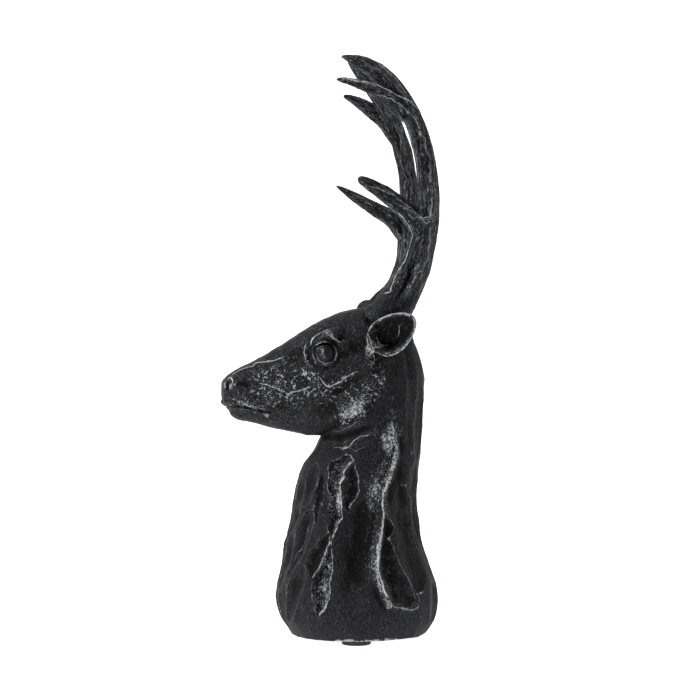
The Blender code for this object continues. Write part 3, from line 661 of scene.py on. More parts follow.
def right_antler() -> Antler:
    """Return the far antler."""
    return Antler(
        Side.RIGHT,
        beam=limb(
            (-14.0, 14.0, 200.0, 13.5, 11.0), (-17.5, 20.5, 211.0, 12.6, 11.0),
            (-20.5, 29.4, 221.0, 9.4, 9.2), (-24.0, 35.0, 231.0, 8.4, 8.2),
            (-28.0, 39.1, 243.5, 7.9, 7.4), (-32.0, 40.4, 259.0, 7.9, 7.0),
            (-35.0, 41.4, 275.0, 7.4, 6.4), (-36.2, 41.6, 292.0, 6.6, 6.0),
            (-35.8, 38.7, 309.0, 6.1, 5.4), (-34.0, 34.4, 322.0, 6.1, 4.8),
            (-30.5, 29.0, 335.0, 6.3, 4.4), (-27.0, 22.3, 344.5, 5.0, 4.0),
            (-23.0, 15.0, 354.5, 4.8, 3.6), (-18.0, 7.0, 364.0, 4.4, 3.2),
            (-14.0, 0.4, 370.6, 3.4, 2.6), (-11.0, -5.4, 376.0, 1.0, 1.0)),
        second_tine=limb(
            (-33.0, 33.4, 318.0, 4.2, 3.4), (-31.6, 26.6, 331.5, 4.8, 3.6),
            (-31.2, 18.8, 339.4, 5.4, 3.6), (-31.0, 11.2, 344.9, 4.8, 3.4),
            (-30.2, 4.4, 348.6, 3.6, 2.8), (-29.2, -2.0, 351.3, 2.3, 1.9),
            (-29.0, -5.2, 352.4, 1.0, 1.0)),
        lower_tine=limb(
            (-32.0, 37.5, 256.0, 5.0, 4.4), (-33.4, 31.0, 269.4, 6.4, 4.8),
            (-34.2, 24.0, 273.8, 5.6, 4.4), (-35.2, 16.0, 278.3, 4.9, 4.0),
            (-35.7, 8.0, 283.0, 4.1, 3.5), (-36.0, 0.6, 287.4, 3.0, 2.5),
            (-36.1, -5.0, 290.8, 1.9, 1.5), (-36.1, -9.0, 293.0, 0.7, 0.7)))


class CutField:
    """The deepest and the next deepest cut at each point, and so the ridges between cuts."""

    FAR = 9.0

    def __init__(self, count: int) -> None:
        self.best = np.zeros(count)
        self.next = np.full(count, -np.inf)
        self.best_rise = np.zeros((count, 3))
        self.next_rise = np.zeros((count, 3))
        self.best_rank = np.zeros(count, int)
        self.next_rank = np.full(count, -1)
        self.wear = np.zeros(count)
        self.ranks = 0

    def add(self, where: np.ndarray, cut: np.ndarray, rise: np.ndarray,
            wear: float | np.ndarray = 0.3) -> None:
        """Add one cut.

        Args:
            where: The numbers of the points that it may reach.
            cut: Its depth at them in mm, below nought outside it.
            rise: How its depth grows at them, as vectors.
            wear: How bright its edge is worn.
        """
        self.ranks += 1
        over = cut > self.best[where]
        near = cut > -0.6
        self.wear[where[near]] = np.maximum(self.wear[where[near]],
                                            np.broadcast_to(wear, cut.shape)[near])
        top = where[over]
        self.next[top] = self.best[top]
        self.next_rise[top] = self.best_rise[top]
        self.next_rank[top] = self.best_rank[top]
        self.best[top] = cut[over]
        self.best_rise[top] = rise[over]
        self.best_rank[top] = self.ranks
        under = ~over & (cut > self.next[where])
        low = where[under]
        self.next[low] = cut[under]
        self.next_rise[low] = rise[under]
        self.next_rank[low] = self.ranks

    def ridges(self) -> tuple[np.ndarray, np.ndarray]:
        """Return the distance to the nearest ridge, with and without the side it is on."""
        spread = np.linalg.norm(self.best_rise - self.next_rise, axis=1)
        gap = (self.best - self.next) / np.maximum(spread, 1e-3)
        gap = np.clip(np.nan_to_num(gap, posinf=self.FAR), 0.0, self.FAR)
        return np.where(self.best_rank > self.next_rank, gap, -gap), gap


def line_distance(points: np.ndarray, route: list[Vector]) -> tuple[np.ndarray, np.ndarray]:
    """Measure points against a run of straight stretches.

    Args:
        points: The points, in mm.
        route: The places that the run goes through.

    Returns:
        The distance to the run, and how far from the nearer end of it the nearest place is.
    """
    nearest = np.full(len(points), np.inf)
    place = np.zeros(len(points))
    walked = 0.0
    for start, end in zip(route, route[1:]):
        first, along = np.array(start), np.array(end) - np.array(start)
        length = max(float(np.linalg.norm(along)), 1e-6)
        share = np.clip((points - first) @ along / length ** 2, 0.0, 1.0)
        gap = points - first - share[:, None] * along
        square = np.einsum("ij,ij->i", gap, gap)
        closer = square < nearest
        nearest = np.where(closer, square, nearest)
        place = np.where(closer, walked + share * length, place)
        walked += length
    return np.sqrt(nearest), np.minimum(place, walked - place)


def mirrored(vector: Vector) -> Vector:
    """Return a vector mirrored in the middle plane."""
    return Vector((-vector.x, vector.y, vector.z))


@dataclass
class Carver:
    """Carves the fused casting, and finds where the brush would leave silver on it."""

    neck: Neck
    head: Head
    ears: list[Ear]
    antlers: list[Antler]
    far_shift: tuple[float, ...] = (3.0, -4.0, 2.0, 1.05, 0.95, 1.0)
    gouge_reach: float = 12.0
    gouge_margin: float = 1.7
    strays: tuple[tuple[float, float], ...] = ((10.0, 1.7), (3.2, 0.7), (1.5, 0.28))
    flute_angles: tuple[float, ...] = (22.0, 78.0, 138.0, 196.0, 250.0, 310.0)
    flute_half_angle: float = 31.0
    flute_wander: float = 8.0
    flute_depth: float = 0.15
    flute_reach: float = 1.4
    flute_seed: int = 5
    grain_stretch: float = 6.0
    beam_grooves: tuple[tuple[tuple[tuple[float, float, float], ...], float, float], ...] = (
        (((34.6, 31.0, 250.0), (33.5, 29.2, 243.0), (32.0, 27.3, 234.3), (30.4, 24.3, 225.6),
          (29.0, 21.3, 217.0)), 4.2, 2.6),
        (((-25.0, 35.6, 256.8), (-28.5, 34.6, 266.7), (-30.0, 35.8, 282.0)), 2.4, 1.2),
        (((-25.7, 28.3, 336.2), (-28.1, 32.2, 326.3), (-29.9, 34.8, 315.3),
          (-31.3, 36.2, 302.0)), 2.2, 1.1),
        (((41.0, 37.0, 318.0), (42.0, 38.0, 305.0), (42.6, 38.6, 292.0)), 2.4, 1.0),
    )
    scratches: dict[str, Scratch] = field(default_factory=lambda: {
        "bridge": Scratch(((-84.7, 170.4), (-82.0, 172.4), (-77.2, 174.6), (-70.8, 176.3),
                           (-68.2, 178.3), (-61.2, 179.2), (-53.3, 182.2), (-49.7, 183.8))),
        "nostril_upper": Scratch(((-87.0, 169.0), (-84.9, 169.4), (-83.9, 167.4), (-85.8, 163.6),
                                  (-87.4, 161.0)), 1.0),
        "crest": Scratch(((-66.8, 166.3), (-60.4, 164.2), (-53.3, 161.8), (-47.7, 160.1),
                          (-44.5, 161.8), (-37.3, 162.1), (-33.1, 163.1)), 0.9),
        "crest_fork": Scratch(((-50.9, 161.0), (-48.8, 159.4), (-46.8, 156.9)), 0.5),
        "cheek": Scratch(((-29.4, 170.8), (-27.4, 168.0), (-25.4, 164.2), (-22.2, 163.4),
                          (-17.4, 166.7), (-9.4, 171.5), (-2.9, 173.9)), 0.9),
        "tear": Scratch(((-36.3, 192.2), (-38.4, 185.9), (-37.1, 180.4)), 0.7),
        "brow": Scratch(((-35.0, 189.9), (-32.1, 194.9), (-28.3, 197.1), (-24.6, 199.4),
                         (-21.6, 200.5)), 1.0, 0.5),
        "brow_back": Scratch(((-22.6, 200.9), (-21.2, 196.7), (-17.4, 194.6), (-13.7, 191.6)),
                             1.0, 0.5),
        "lower_lid": Scratch(((-31.2, 183.9), (-29.0, 180.4), (-24.9, 178.9), (-20.6, 180.2)),
                             1.1, 0.1),
        "upper_lip": Scratch(((-82.9, 155.3), (-78.1, 154.5), (-71.6, 151.7), (-63.6, 151.6)),
                             0.4, 0.0),
        "jaw": Scratch(((-23.7, 135.6), (-16.3, 134.8), (-9.0, 137.9), (-2.8, 142.1)), 0.4, 0.0),
        "throat": Scratch(((-15.7, 122.6), (-9.4, 127.6), (-3.1, 130.9), (4.9, 133.4)), 0.6),
        "throat_low": Scratch(((-20.7, 123.1), (-15.6, 124.2), (-12.2, 126.7), (-6.5, 122.1),
                               (0.7, 125.3)), 0.4),
        "muzzle": Scratch(((-82.8, 164.3), (-80.5, 160.2), (-81.3, 157.0)), 0.45, 0.0),
        "tragus": Scratch(((2.0, 199.0), (3.3, 193.5), (4.8, 187.9), (6.5, 183.8),
                           (5.7, 177.0)), 0.8),
        "nape": Scratch(((28.1, 172.5), (27.4, 161.2), (26.9, 148.2)), 0.25),
        "leaf_upper": Scratch(((-8.3, 115.7), (-13.0, 109.3), (-15.9, 102.1), (-16.1, 95.7),
                               (-15.5, 89.4), (-16.6, 79.8), (-20.0, 71.8), (-23.2, 67.0)), 1.0,
                              0.4),
        "leaf_upper_front": Scratch(((-22.0, 115.3), (-24.0, 108.2), (-24.1, 100.3),
                                     (-23.2, 90.8)), 0.5),
        "leaf_middle": Scratch(((-25.4, 70.1), (-31.7, 63.5), (-37.1, 56.0), (-38.8, 48.7),
                                (-38.1, 41.0)), 0.5),
        "leaf_twist": Scratch(((-22.5, 66.7), (-25.8, 60.6), (-29.8, 52.5), (-33.8, 46.0),
                               (-37.0, 39.5)), 0.7, 0.3),
        "leaf_lower": Scratch(((-23.6, 49.6), (-24.2, 40.2), (-26.1, 30.7), (-29.4, 22.6),
                               (-33.1, 15.9)), 0.8, 0.3),
        "leaf_small": Scratch(((-7.6, 113.3), (-5.8, 105.4), (-5.4, 99.0), (-7.5, 92.6),
                               (-10.0, 87.5)), 0.5),
        "front": Scratch(((-35.5, 76.6), (-41.8, 59.3), (-47.4, 48.7)), 0.4),
        "ridge_top": Scratch(((21.6, 125.6), (19.7, 115.9), (16.2, 108.0), (13.4, 102.4)), 0.35,
                             0.3),
        "cup_low": Scratch(((5.0, 192.0), (8.5, 189.5), (12.0, 189.0)), 1.0, 0.1),
        "cup_inner": Scratch(((7.5, 197.0), (9.0, 193.0), (12.5, 190.5), (16.5, 190.5)), 0.9,
                             0.1),
        "cup_back": Scratch(((21.0, 205.0), (22.5, 200.0), (21.5, 195.5)), 0.7, 0.1),
        "ridge_core": Scratch(((15.0, 105.4), (12.6, 100.9),
                               (10.4, 94.6), (10.6, 87.3), (10.7, 80.9), (9.3, 73.0),
                               (7.3, 65.1), (5.8, 57.3), (5.8, 49.4), (6.3, 41.5), (9.3, 33.5),
                               (11.2, 27.6)), 1.3, 0.5),
        "ridge_foot": Scratch(((11.4, 29.2), (12.6, 25.2), (15.2, 22.6), (19.4, 21.2),
                               (27.1, 19.4), (32.0, 20.6), (34.4, 23.2)), 0.5, 0.3),
        "blade_top": Scratch(((16.2, -4.9, 378.0), (19.6, 4.3, 375.9), (22.9, 10.3, 372.1),
                              (25.3, 15.3, 367.8), (26.6, 20.5, 363.5), (28.6, 24.0, 358.7),
                              (31.8, 26.1, 352.2)), 0.6),
        "blade_low": Scratch(((19.0, -5.2, 370.6), (19.6, -2.2, 368.9), (22.2, 2.8, 365.6),
                              (23.7, 6.9, 361.4)), 0.5),
        "second_top": Scratch(((27.0, -16.6, 362.9), (28.2, -8.1, 362.3), (28.8, 0.5, 360.7),
                               (29.6, 9.0, 358.1), (30.7, 15.4, 355.4), (32.5, 22.7, 350.6),
                               (33.5, 27.9, 348.0), (33.0, 33.5, 342.6)), 0.9),
        "second_low": Scratch(((30.1, 3.5, 353.3), (32.2, 10.7, 352.2), (33.3, 17.1, 349.5),
                               (34.5, 23.4, 344.7), (37.3, 29.4, 337.3), (39.3, 33.3, 329.8),
                               (39.8, 37.1, 324.5), (41.2, 37.3, 318.1), (42.0, 39.9, 309.6)),
                              0.6),
        "beam_front": Scratch(((33.4, 23.6, 335.1), (35.5, 26.5, 327.7), (37.3, 28.8, 318.1),
                               (39.0, 30.7, 309.6), (39.0, 31.8, 298.9)), 0.6),
        "beam_foot": Scratch(((22.0, 11.7, 224.2), (25.6, 14.8, 225.5), (25.6, 18.7, 234.1),
                              (27.2, 21.6, 239.5), (29.8, 25.0, 246.1), (32.4, 28.3, 255.8),
                              (34.1, 29.0, 263.4), (36.9, 26.3, 268.9), (36.8, 21.9, 273.2),
                              (37.1, 18.0, 277.0)), 0.9),
        "lower_top": Scratch(((37.5, -3.2, 293.6), (39.7, 5.0, 292.6), (39.8, 13.7, 288.3),
                              (39.0, 22.6, 283.9), (38.3, 30.4, 277.5), (40.2, 35.4, 273.2),
                              (41.2, 39.6, 274.3), (42.1, 40.5, 281.8), (42.9, 40.3, 292.5)),
                             0.7),
        "lower_low": Scratch(((39.7, 18.1, 282.9), (39.3, 25.8, 278.6), (39.1, 33.5, 273.2),
                              (40.1, 36.6, 270.0), (40.6, 40.8, 271.6)), 0.6),
        "beam_middle": Scratch(((40.3, 39.8, 268.9), (38.3, 39.7, 259.2), (35.5, 39.7, 249.4),
                                (33.8, 37.9, 241.8)), 0.6),
        "far_middle": Scratch(((-25.7, 28.3, 336.2), (-28.1, 32.2, 326.3), (-29.9, 34.8, 315.3),
                               (-31.3, 36.2, 302.0)), 0.5),
        "far_foot": Scratch(((-28.8, 30.7, 264.5), (-28.8, 32.4, 260.0), (-24.5, 31.8, 249.1),
                             (-20.7, 29.7, 240.5)), 0.6),
    })
    ridge_wear: float = 0.3
    chip_level: float = 0.38
    chip_cell: float = 1.25
    chip_seed: int = 11
    chips: dict[Area, ChipStroke] = field(default_factory=lambda: {
        Area.NECK: ChipStroke((7.5, 7.5, 19.0), 1.0),
        Area.HEAD: ChipStroke((5.5, 7.0, 4.6), 0.5),
        Area.ANTLERS: ChipStroke((4.0, 6.0, 14.0), 0.45),
    })
    neck_top: float = 140.0
    head_foot: float = 152.0
    antler_foot: float = 214.0
    blend: float = 10.0
    strokes: tuple[Stroke, ...] = (
        Stroke(((22.6, 123.6), (16.8, 105.7), (10.3, 92.1), (10.8, 84.4), (8.2, 65.7),
                (5.0, 49.7), (5.1, 38.6), (9.1, 28.9), (12.0, 23.0)), 1.7, 0.85),
        Stroke(((19.0, 132.0), (16.0, 118.0), (9.0, 104.0), (4.0, 90.0)), 7.0, 0.75),
        Stroke(((5.0, 84.0), (4.0, 72.0), (1.0, 58.0), (1.0, 44.0)), 4.6, 0.42),
        Stroke(((11.0, 50.0), (11.0, 40.0), (12.0, 30.0)), 4.0, 0.45),
        Stroke(((12.0, 24.0), (20.0, 21.0), (30.8, 19.2), (33.9, 23.9)), 2.0, 0.4),
        Stroke(((-16.0, 113.0), (-19.8, 102.0), (-20.0, 90.0), (-20.6, 78.0)), 4.2, 0.7),
        Stroke(((-27.0, 50.0), (-30.0, 38.0), (-31.6, 27.0)), 5.0, 0.8),
        Stroke(((-27.6, 100.0), (-31.0, 90.0)), 3.0, 0.35),
        Stroke(((-6.5, 148.0), (-1.0, 154.0), (3.7, 161.0), (8.0, 166.0)), 6.0, 0.62),
        Stroke(((-12.0, 143.0), (-4.0, 150.0)), 5.0, 0.45),
        Stroke(((18.2, 145.2), (16.5, 137.0), (14.0, 129.2)), 5.5, 0.6),
        Stroke(((-64.0, 160.0), (-52.0, 163.0), (-40.0, 164.0)), 9.0, 0.3),
        Stroke(((-62.0, 171.0), (-50.0, 172.0), (-38.0, 173.0)), 8.0, 0.24),
        Stroke(((-30.0, 167.0), (-25.4, 164.2), (-17.4, 167.0), (-9.4, 171.5)), 2.6, 0.4),
        Stroke(((-26.0, 156.0), (-14.0, 160.0)), 6.0, 0.2),
        Stroke(((-88.0, 166.0), (-84.0, 166.0)), 3.0, 0.35),
        Stroke(((-24.0, 199.0), (-20.0, 197.4), (-16.0, 194.0)), 1.6, 0.35),
        # Silver on the centre-left of each eyeball: brushed on, and standing in for its painted
        # highlight.
        Stroke(((-27.2, 189.0), (-26.8, 183.6)), 1.3, 2.4),
        Stroke(((-84.0, 154.5), (-74.0, 152.6), (-64.0, 151.6)), 2.2, 0.4),
        Stroke(((-16.0, 127.0), (-4.0, 128.0), (6.0, 132.0)), 4.0, 0.4),
        Stroke(((6.0, 190.0), (4.0, 180.0)), 3.0, 0.2),
        Stroke(((7.0, 193.0), (11.0, 190.0)), 3.0, 0.25),
        Stroke(((10.5, 20.0), (9.0, 8.0)), 3.0, 0.3),
    )
    rim_width: float = 1.9
    rim_strength: float = 1.0
    base_brush: dict[Area, float] = field(default_factory=lambda: {
        Area.NECK: 0.12, Area.HEAD: 0.2, Area.ANTLERS: 0.34,
    })
    eye_share: float = 0.12
    broad_passes: int = 60
    fine_passes: int = 5

    def read(self, body: bpy.types.Object) -> None:
        """Take the fused casting's surface as the skin that the tools touch."""
        mesh = body.data
        corners = [vertex.co / MM for vertex in mesh.vertices]
        self.tree = BVHTree.FromPolygons(corners, [face.vertices[:] for face in mesh.polygons])

    def touch_flank(self, along: float, height: float) -> Touch:
        """Return the place and the normal where a straight line from +X meets the skin."""
        place, normal, _, _ = self.tree.ray_cast(Vector((400.0, along, height)),
                                                 Vector((-1.0, 0.0, 0.0)))
        return place, normal

    def flank_route(self, places: tuple[tuple[float, float], ...]) -> list[Vector]:
        """Return the places of a line drawn on the left flank, but for those past its edge."""
        touches = [self.touch_flank(*place)[0] for place in places]
        return [touch for touch in touches if touch is not None]

    def touch_neck(self, angle: float, height: float) -> Touch:
        """Return the place and the normal at an angle round the neck, front at -90."""
        turn = math.radians(angle)
        outward = Vector((math.cos(turn), math.sin(turn), 0.0))
        place, normal, _, _ = self.tree.ray_cast(Vector((0.0, 0.0, height)) + outward * 95.0,
                                                 -outward)
        return place, normal

    def gouge_axes(self, gouge: Gouge, far: bool, neck: bool) -> list[Vector]:
        """Return a gouge's place and its long, cross and outward axes."""
        shift = self.far_shift if far and neck else (0.0,) * 3
        touch = self.touch_neck if neck else self.touch_flank
        place, normal = touch(gouge.first + shift[0], gouge.height + shift[1])
        back = Vector((0.0, 0.0, 1.0)).cross(normal).normalized()
        tilt = math.radians(gouge.lean + shift[2])
        long_axis = normal.cross(back) * math.cos(tilt) + back * math.sin(tilt)
        axes = [place, long_axis, normal.cross(long_axis), normal]
        return [mirrored(axis) for axis in axes] if far else axes

    def hollow_depth(self, points: np.ndarray) -> np.ndarray:
        """Return the depth of the soft hollows at each point."""
        total = np.zeros(len(points))
        for gouges, neck in ((self.neck.hollows, True), (self.head.hollows, False)):
            for gouge in gouges:
                for far in (False, True):
                    place, long_axis, cross, outward = self.gouge_axes(gouge, far, neck)
                    offset = points - np.array(place)
                    reach = (offset @ np.array(long_axis) / gouge.half_length) ** 2
                    reach += (offset @ np.array(cross) / gouge.half_width) ** 2
                    near = np.abs(offset @ np.array(outward)) < self.gouge_reach
                    share = np.where(near, np.clip(1.0 - reach, 0.0, None), 0.0)
                    total += gouge.depth * share ** 2
        return total

    def cut_gouges(self, points: np.ndarray, cuts: CutField) -> None:
        """Add the neck's sharp gouges, on both flanks, to the cuts."""
        for gouge in self.neck.gouges:
            for far in (False, True):
                place, long_axis, cross, outward = (
                    np.array(axis) for axis in self.gouge_axes(gouge, far, True))
                offset = points - place
                rise_along = offset @ long_axis / gouge.half_length ** 2
                rise_across = offset @ cross / gouge.half_width ** 2
                reach = (rise_along * gouge.half_length) ** 2
                reach += (rise_across * gouge.half_width) ** 2
                near = (np.abs(offset @ outward) < self.gouge_reach)
                where = np.flatnonzero(near & (reach < self.gouge_margin ** 2))
                rise = rise_along[where, None] * long_axis + rise_across[where, None] * cross
                cuts.add(where, gouge.depth * (1.0 - reach[where]), -2.0 * gouge.depth * rise)

    def stray(self, points: np.ndarray, normals: np.ndarray) -> np.ndarray:
        """Return the points as a hand-held tool finds them, a little off along the skin."""
        shift = np.zeros_like(points)
        for size, amount in self.strays:
            shift += amount * np.array([noise.noise_vector(spot) for spot in points / size])
        shift -= normals * np.einsum("ij,ij->i", shift, normals)[:, None]
        return points + shift * self.chip_share(points)[:, None]

    def cut_leaves(self, points: np.ndarray, cuts: CutField) -> np.ndarray:
        """Add the neck's long leaves, on both flanks, to the cuts.

        Args:
            points: The points, in mm.
            cuts: The cuts so far.

        Returns:
            How much silver was brushed into the leaves at each point.
        """
        glow = np.zeros(len(points))
        for leaf in self.neck.leaves.values():
            heights, fronts, backs = (np.array(part[::-1]) for part in zip(*leaf.rows))
            for side in Side:
                drop = self.far_shift[1] if side is Side.RIGHT else 0.0
                level = points[:, 2] - drop
                front, back = np.interp(level, heights, fronts), np.interp(level, heights, backs)
                half = np.maximum((back - front) / 2.0, 0.4)
                share = (points[:, 1] - (front + back) / 2.0) / half
                beyond = np.maximum(level - heights[-1], heights[0] - level)
                share = np.sqrt(share ** 2 + (np.clip(beyond, 0.0, None) / 2.0) ** 2)
                near = (points[:, 0] * side.value > 4.0) & (share < self.gouge_margin)
                where = np.flatnonzero(near & (beyond < 3.0))
                widest = (np.array(backs) - np.array(fronts)).max() / 2.0
                depth = leaf.depth * np.sqrt(np.clip(half[where] / widest, 0.0, 1.0))
                across = share[where] * np.sign(points[where, 1] - ((front + back) / 2.0)[where])
                rise = np.zeros((len(where), 3))
                rise[:, 1] = -2.0 * depth * across / half[where]
                lean = 1.0 + leaf.tilt * np.clip(across, -1.0, 1.0)
                worn = leaf.wear * (0.6 + 0.4 * np.clip(across, -1.0, 1.0))
                cuts.add(where, depth * lean * (1.0 - share[where] ** 2), rise, worn)
                inside = leaf.glow * np.clip(1.3 - share[where] ** 2, 0.0, 1.0)
                glow[where] = np.maximum(glow[where], inside)
        return glow

    def cut_flutes(self, points: np.ndarray, cuts: CutField) -> None:
        """Add the flutes along the antlers to the cuts."""
        high = np.flatnonzero(points[:, 2] > self.antler_foot - self.blend)
        spots = points[high]
        owner = np.full(len(high), -1)
        nearest = np.full(len(high), np.inf)
        limbs = [one for antler in self.antlers for one in antler.limbs().values()]
        seats = []
        for number, one in enumerate(limbs):
            frames = limb_frames(one)
            centres = np.array([centre for centre, _, _ in frames])
            walked = np.concatenate(([0.0], np.cumsum(np.linalg.norm(np.diff(centres, axis=0),
                                                                     axis=1))))
            best = np.full(len(high), np.inf)
            place = np.zeros(len(high))
            for index in range(len(one) - 1):
                along = centres[index + 1] - centres[index]
                share = np.clip((spots - centres[index]) @ along / (along @ along), 0.0, 1.0)
                gap = np.linalg.norm(spots - centres[index] - share[:, None] * along, axis=1)
                closer = gap < best
                best = np.where(closer, gap, best)
                place = np.where(closer, index + share, place)
            steps = np.arange(len(one))
            sizes = np.interp(place, steps, [point.half_width for point in one])
            depths = np.interp(place, steps, [point.half_depth for point in one])
            ratio = best / np.sqrt(sizes * depths)
            owner = np.where(ratio < nearest, number, owner)
            nearest = np.minimum(ratio, nearest)
            seats.append((frames, walked, place, sizes, depths))
        noise = np.random.default_rng(self.flute_seed)
        for number, (frames, walked, place, sizes, depths) in enumerate(seats):
            own = np.flatnonzero((owner == number) & (spots[:, 2] > self.antler_foot))
            centre, wide, deep = (np.stack([np.interp(place[own], np.arange(len(frames)),
                                                      [frame[part][axis] for frame in frames])
                                            for axis in range(3)], axis=1)
                                  for part in range(3))
            offset = spots[own] - centre
            length = np.interp(place[own], np.arange(len(frames)), walked)
            self.grain[high[own]] = np.stack((np.einsum("ij,ij->i", offset, wide),
                                              np.einsum("ij,ij->i", offset, deep),
                                              length / self.grain_stretch + 30.0 * number),
                                             axis=1)
            mine = np.flatnonzero((owner == number) & (nearest < self.flute_reach))
            steps = np.arange(len(frames))
            centre, wide, deep = (
                np.stack([np.interp(place[mine], steps, [frame[part][axis] for frame in frames])
                          for axis in range(3)], axis=1) for part in range(3))
            offset = spots[mine] - centre
            across = np.einsum("ij,ij->i", offset, wide) / sizes[mine]
            inward = np.einsum("ij,ij->i", offset, deep) / depths[mine]
            angle = np.degrees(np.arctan2(inward, across))
            length = np.interp(place[mine], steps, walked)
            ends = np.clip((walked[-1] - length) / 12.0, 0.0, 1.0)
            ends *= np.clip((spots[mine, 2] - self.antler_foot) / self.blend, 0.0, 1.0)
            size = np.sqrt(sizes[mine] * depths[mine])
            around = np.cross(np.cross(wide, deep), offset)
            around /= np.maximum(np.linalg.norm(around, axis=1, keepdims=True), 1e-6)
            for middle in self.flute_angles:
                wander = self.flute_wander * np.sin(length / noise.uniform(9.0, 17.0)
                                                    + noise.uniform(0.0, 6.0))
                turn = (angle - middle - wander - noise.uniform(-9.0, 9.0) + 180.0) % 360.0
                turn = (turn - 180.0) / (self.flute_half_angle * noise.uniform(0.9, 1.25))
                depth = self.flute_depth * noise.uniform(0.7, 1.3) * depths[mine] * ends
                close = (np.abs(turn) < self.gouge_margin) & (depth > 0.02)
                slope = -2.0 * depth * turn / (math.radians(self.flute_half_angle) * size)
                rise = slope[:, None] * around
                cuts.add(high[mine[close]], (depth * (1.0 - turn ** 2))[close], rise[close])

    def groove_depth(self, points: np.ndarray) -> np.ndarray:
        """Return the depth of the grooves and ridges on the head and neck at each point."""
        total = np.zeros(len(points))
        for name, groove in self.head.grooves.items():
            route = self.flank_route(groove.places)
            if name == "lips":
                route.insert(0, Vector(self.head.lip_front))
            for run in (route, [mirrored(place) for place in route]):
                total += self.one_groove(points, run, groove.half_width, groove.depth,
                                         groove.taper if name != "lips" else 0.0)
        for radius, half_width, depth in self.head.eye_rings:
            ring = self.eye_ring(radius)
            for run in (ring, [mirrored(place) for place in ring]):
                total += self.one_groove(points, run, half_width, depth, 0.0)
        for places, half_width, depth in self.beam_grooves:
            run = [Vector(place) for place in places]
            total += self.one_groove(points, run, half_width, depth, 10.0)
        run = [Vector(place) for place in self.head.philtrum]
        return total + self.one_groove(points, run, self.head.philtrum_half_width,
                                       self.head.philtrum_depth, 0.0)

    def one_groove(self, points: np.ndarray, run: list[Vector], half_width: float,
                   depth: float, taper: float) -> np.ndarray:
        """Return the depth of one groove at each point.

        Args:
            points: The points, in mm.
            run: The places that it goes through.
            half_width: Its half width.
            depth: Its depth.
            taper: How far from each end it has its whole depth.

        Returns:
            The depth.
        """
        distance, from_end = line_distance(points, run)
        profile = np.clip(1.0 - (distance / half_width) ** 2, 0.0, None) ** 2
        fade = np.clip(from_end / taper, 0.0, 1.0) if taper else 1.0
        return depth * profile * fade

    def eye_ring(self, radius: float) -> list[Vector]:
        """Return a closed ring of places round the left eye."""
        along, height = self.head.eye_place
        turns = [2.0 * math.pi * index / self.head.eye_ring_points
                 for index in range(self.head.eye_ring_points + 1)]
        return [self.touch_flank(along + radius * math.cos(turn),
                                 height + radius * math.sin(turn))[0] for turn in turns]

    def areas(self, points: np.ndarray) -> dict[Area, np.ndarray]:
        """Return how far each point belongs to each area."""
        x, y, z = points.T
        neck = np.clip((self.neck_top - z + np.clip(y + 6.0, 0.0, 60.0) * 1.6) / self.blend,
                       0.0, 1.0)
        antlers = np.clip((z - self.antler_foot) / self.blend, 0.0, 1.0)
        return {Area.NECK: neck * (1.0 - antlers), Area.ANTLERS: antlers,
                Area.HEAD: (1.0 - neck) * (1.0 - antlers)}

    def cut_chips(self, points: np.ndarray) -> tuple[np.ndarray, np.ndarray, np.ndarray]:
        """Chip the whole surface with small strokes.

        Args:
            points: The points, in mm.

        Returns:
            The depth at each point, and the distance to the nearest ridge between two
            strokes, with and without its side.
        """
        depth = np.zeros(len(points))
        side = np.full(len(points), CutField.FAR)
        gap = np.full(len(points), CutField.FAR)
        strongest = np.zeros(len(points))
        noise = np.random.default_rng(self.chip_seed)
        for area, share in self.areas(points).items():
            stroke = self.chips[area]
            size = np.array(stroke.size)
            where = np.flatnonzero(share > 0.0)
            scaled = points[where] / size
            order = noise.permutation(len(where))
            cells = np.floor(scaled[order] / self.chip_cell).astype(int)
            _, first = np.unique(cells, axis=0, return_index=True)
            seeds = scaled[order[first]]
            tree = KDTree(len(seeds))
            for index, seed in enumerate(seeds):
                tree.insert(seed, index)
            tree.balance()
            found = [tree.find_n(spot, 2) for spot in scaled]
            near = np.array([pair[0][1] for pair in found])
            other = np.array([pair[1][1] for pair in found])
            near_square = np.array([pair[0][2] for pair in found]) ** 2
            other_square = np.array([pair[1][2] for pair in found]) ** 2
            depth[where] += share[where] * stroke.depth * (self.chip_level - near_square)
            spread = 2.0 * np.linalg.norm((seeds[near] - seeds[other]) / size, axis=1)
            distance = (other_square - near_square) / np.maximum(spread, 1e-3)
            stronger = share[where] > strongest[where]
            chosen = where[stronger]
            gap[chosen] = np.minimum(distance[stronger], CutField.FAR)
            side[chosen] = np.where(near > other, 1.0, -1.0)[stronger] * gap[chosen]
            strongest[chosen] = share[chosen]
        return depth, side, gap

    def chip_share(self, points: np.ndarray) -> np.ndarray:
        """Return each point's share of chips: none on the eyes, less in ears and at the muzzle."""
        share = np.ones(len(points))
        eye = Vector(self.head.lumps["eyeball"].centre)
        for side in Side:
            place = np.array((side.value * eye.x, eye.y, eye.z))
            distance = np.linalg.norm(points - place, axis=1)
            share *= np.clip((distance - 9.5) / 5.0, 0.0, 1.0)
        for ear in self.ears:
            place = np.array(ear.centre) * (ear.side.value, 1.0, 1.0)
            distance = np.linalg.norm(points - place, axis=1)
            share *= np.clip((distance - 13.0) / 6.0, 0.3, 1.0)
        muzzle = np.clip((points[:, 1] + 84.0) / 12.0, 0.2, 1.0)
        return share * muzzle

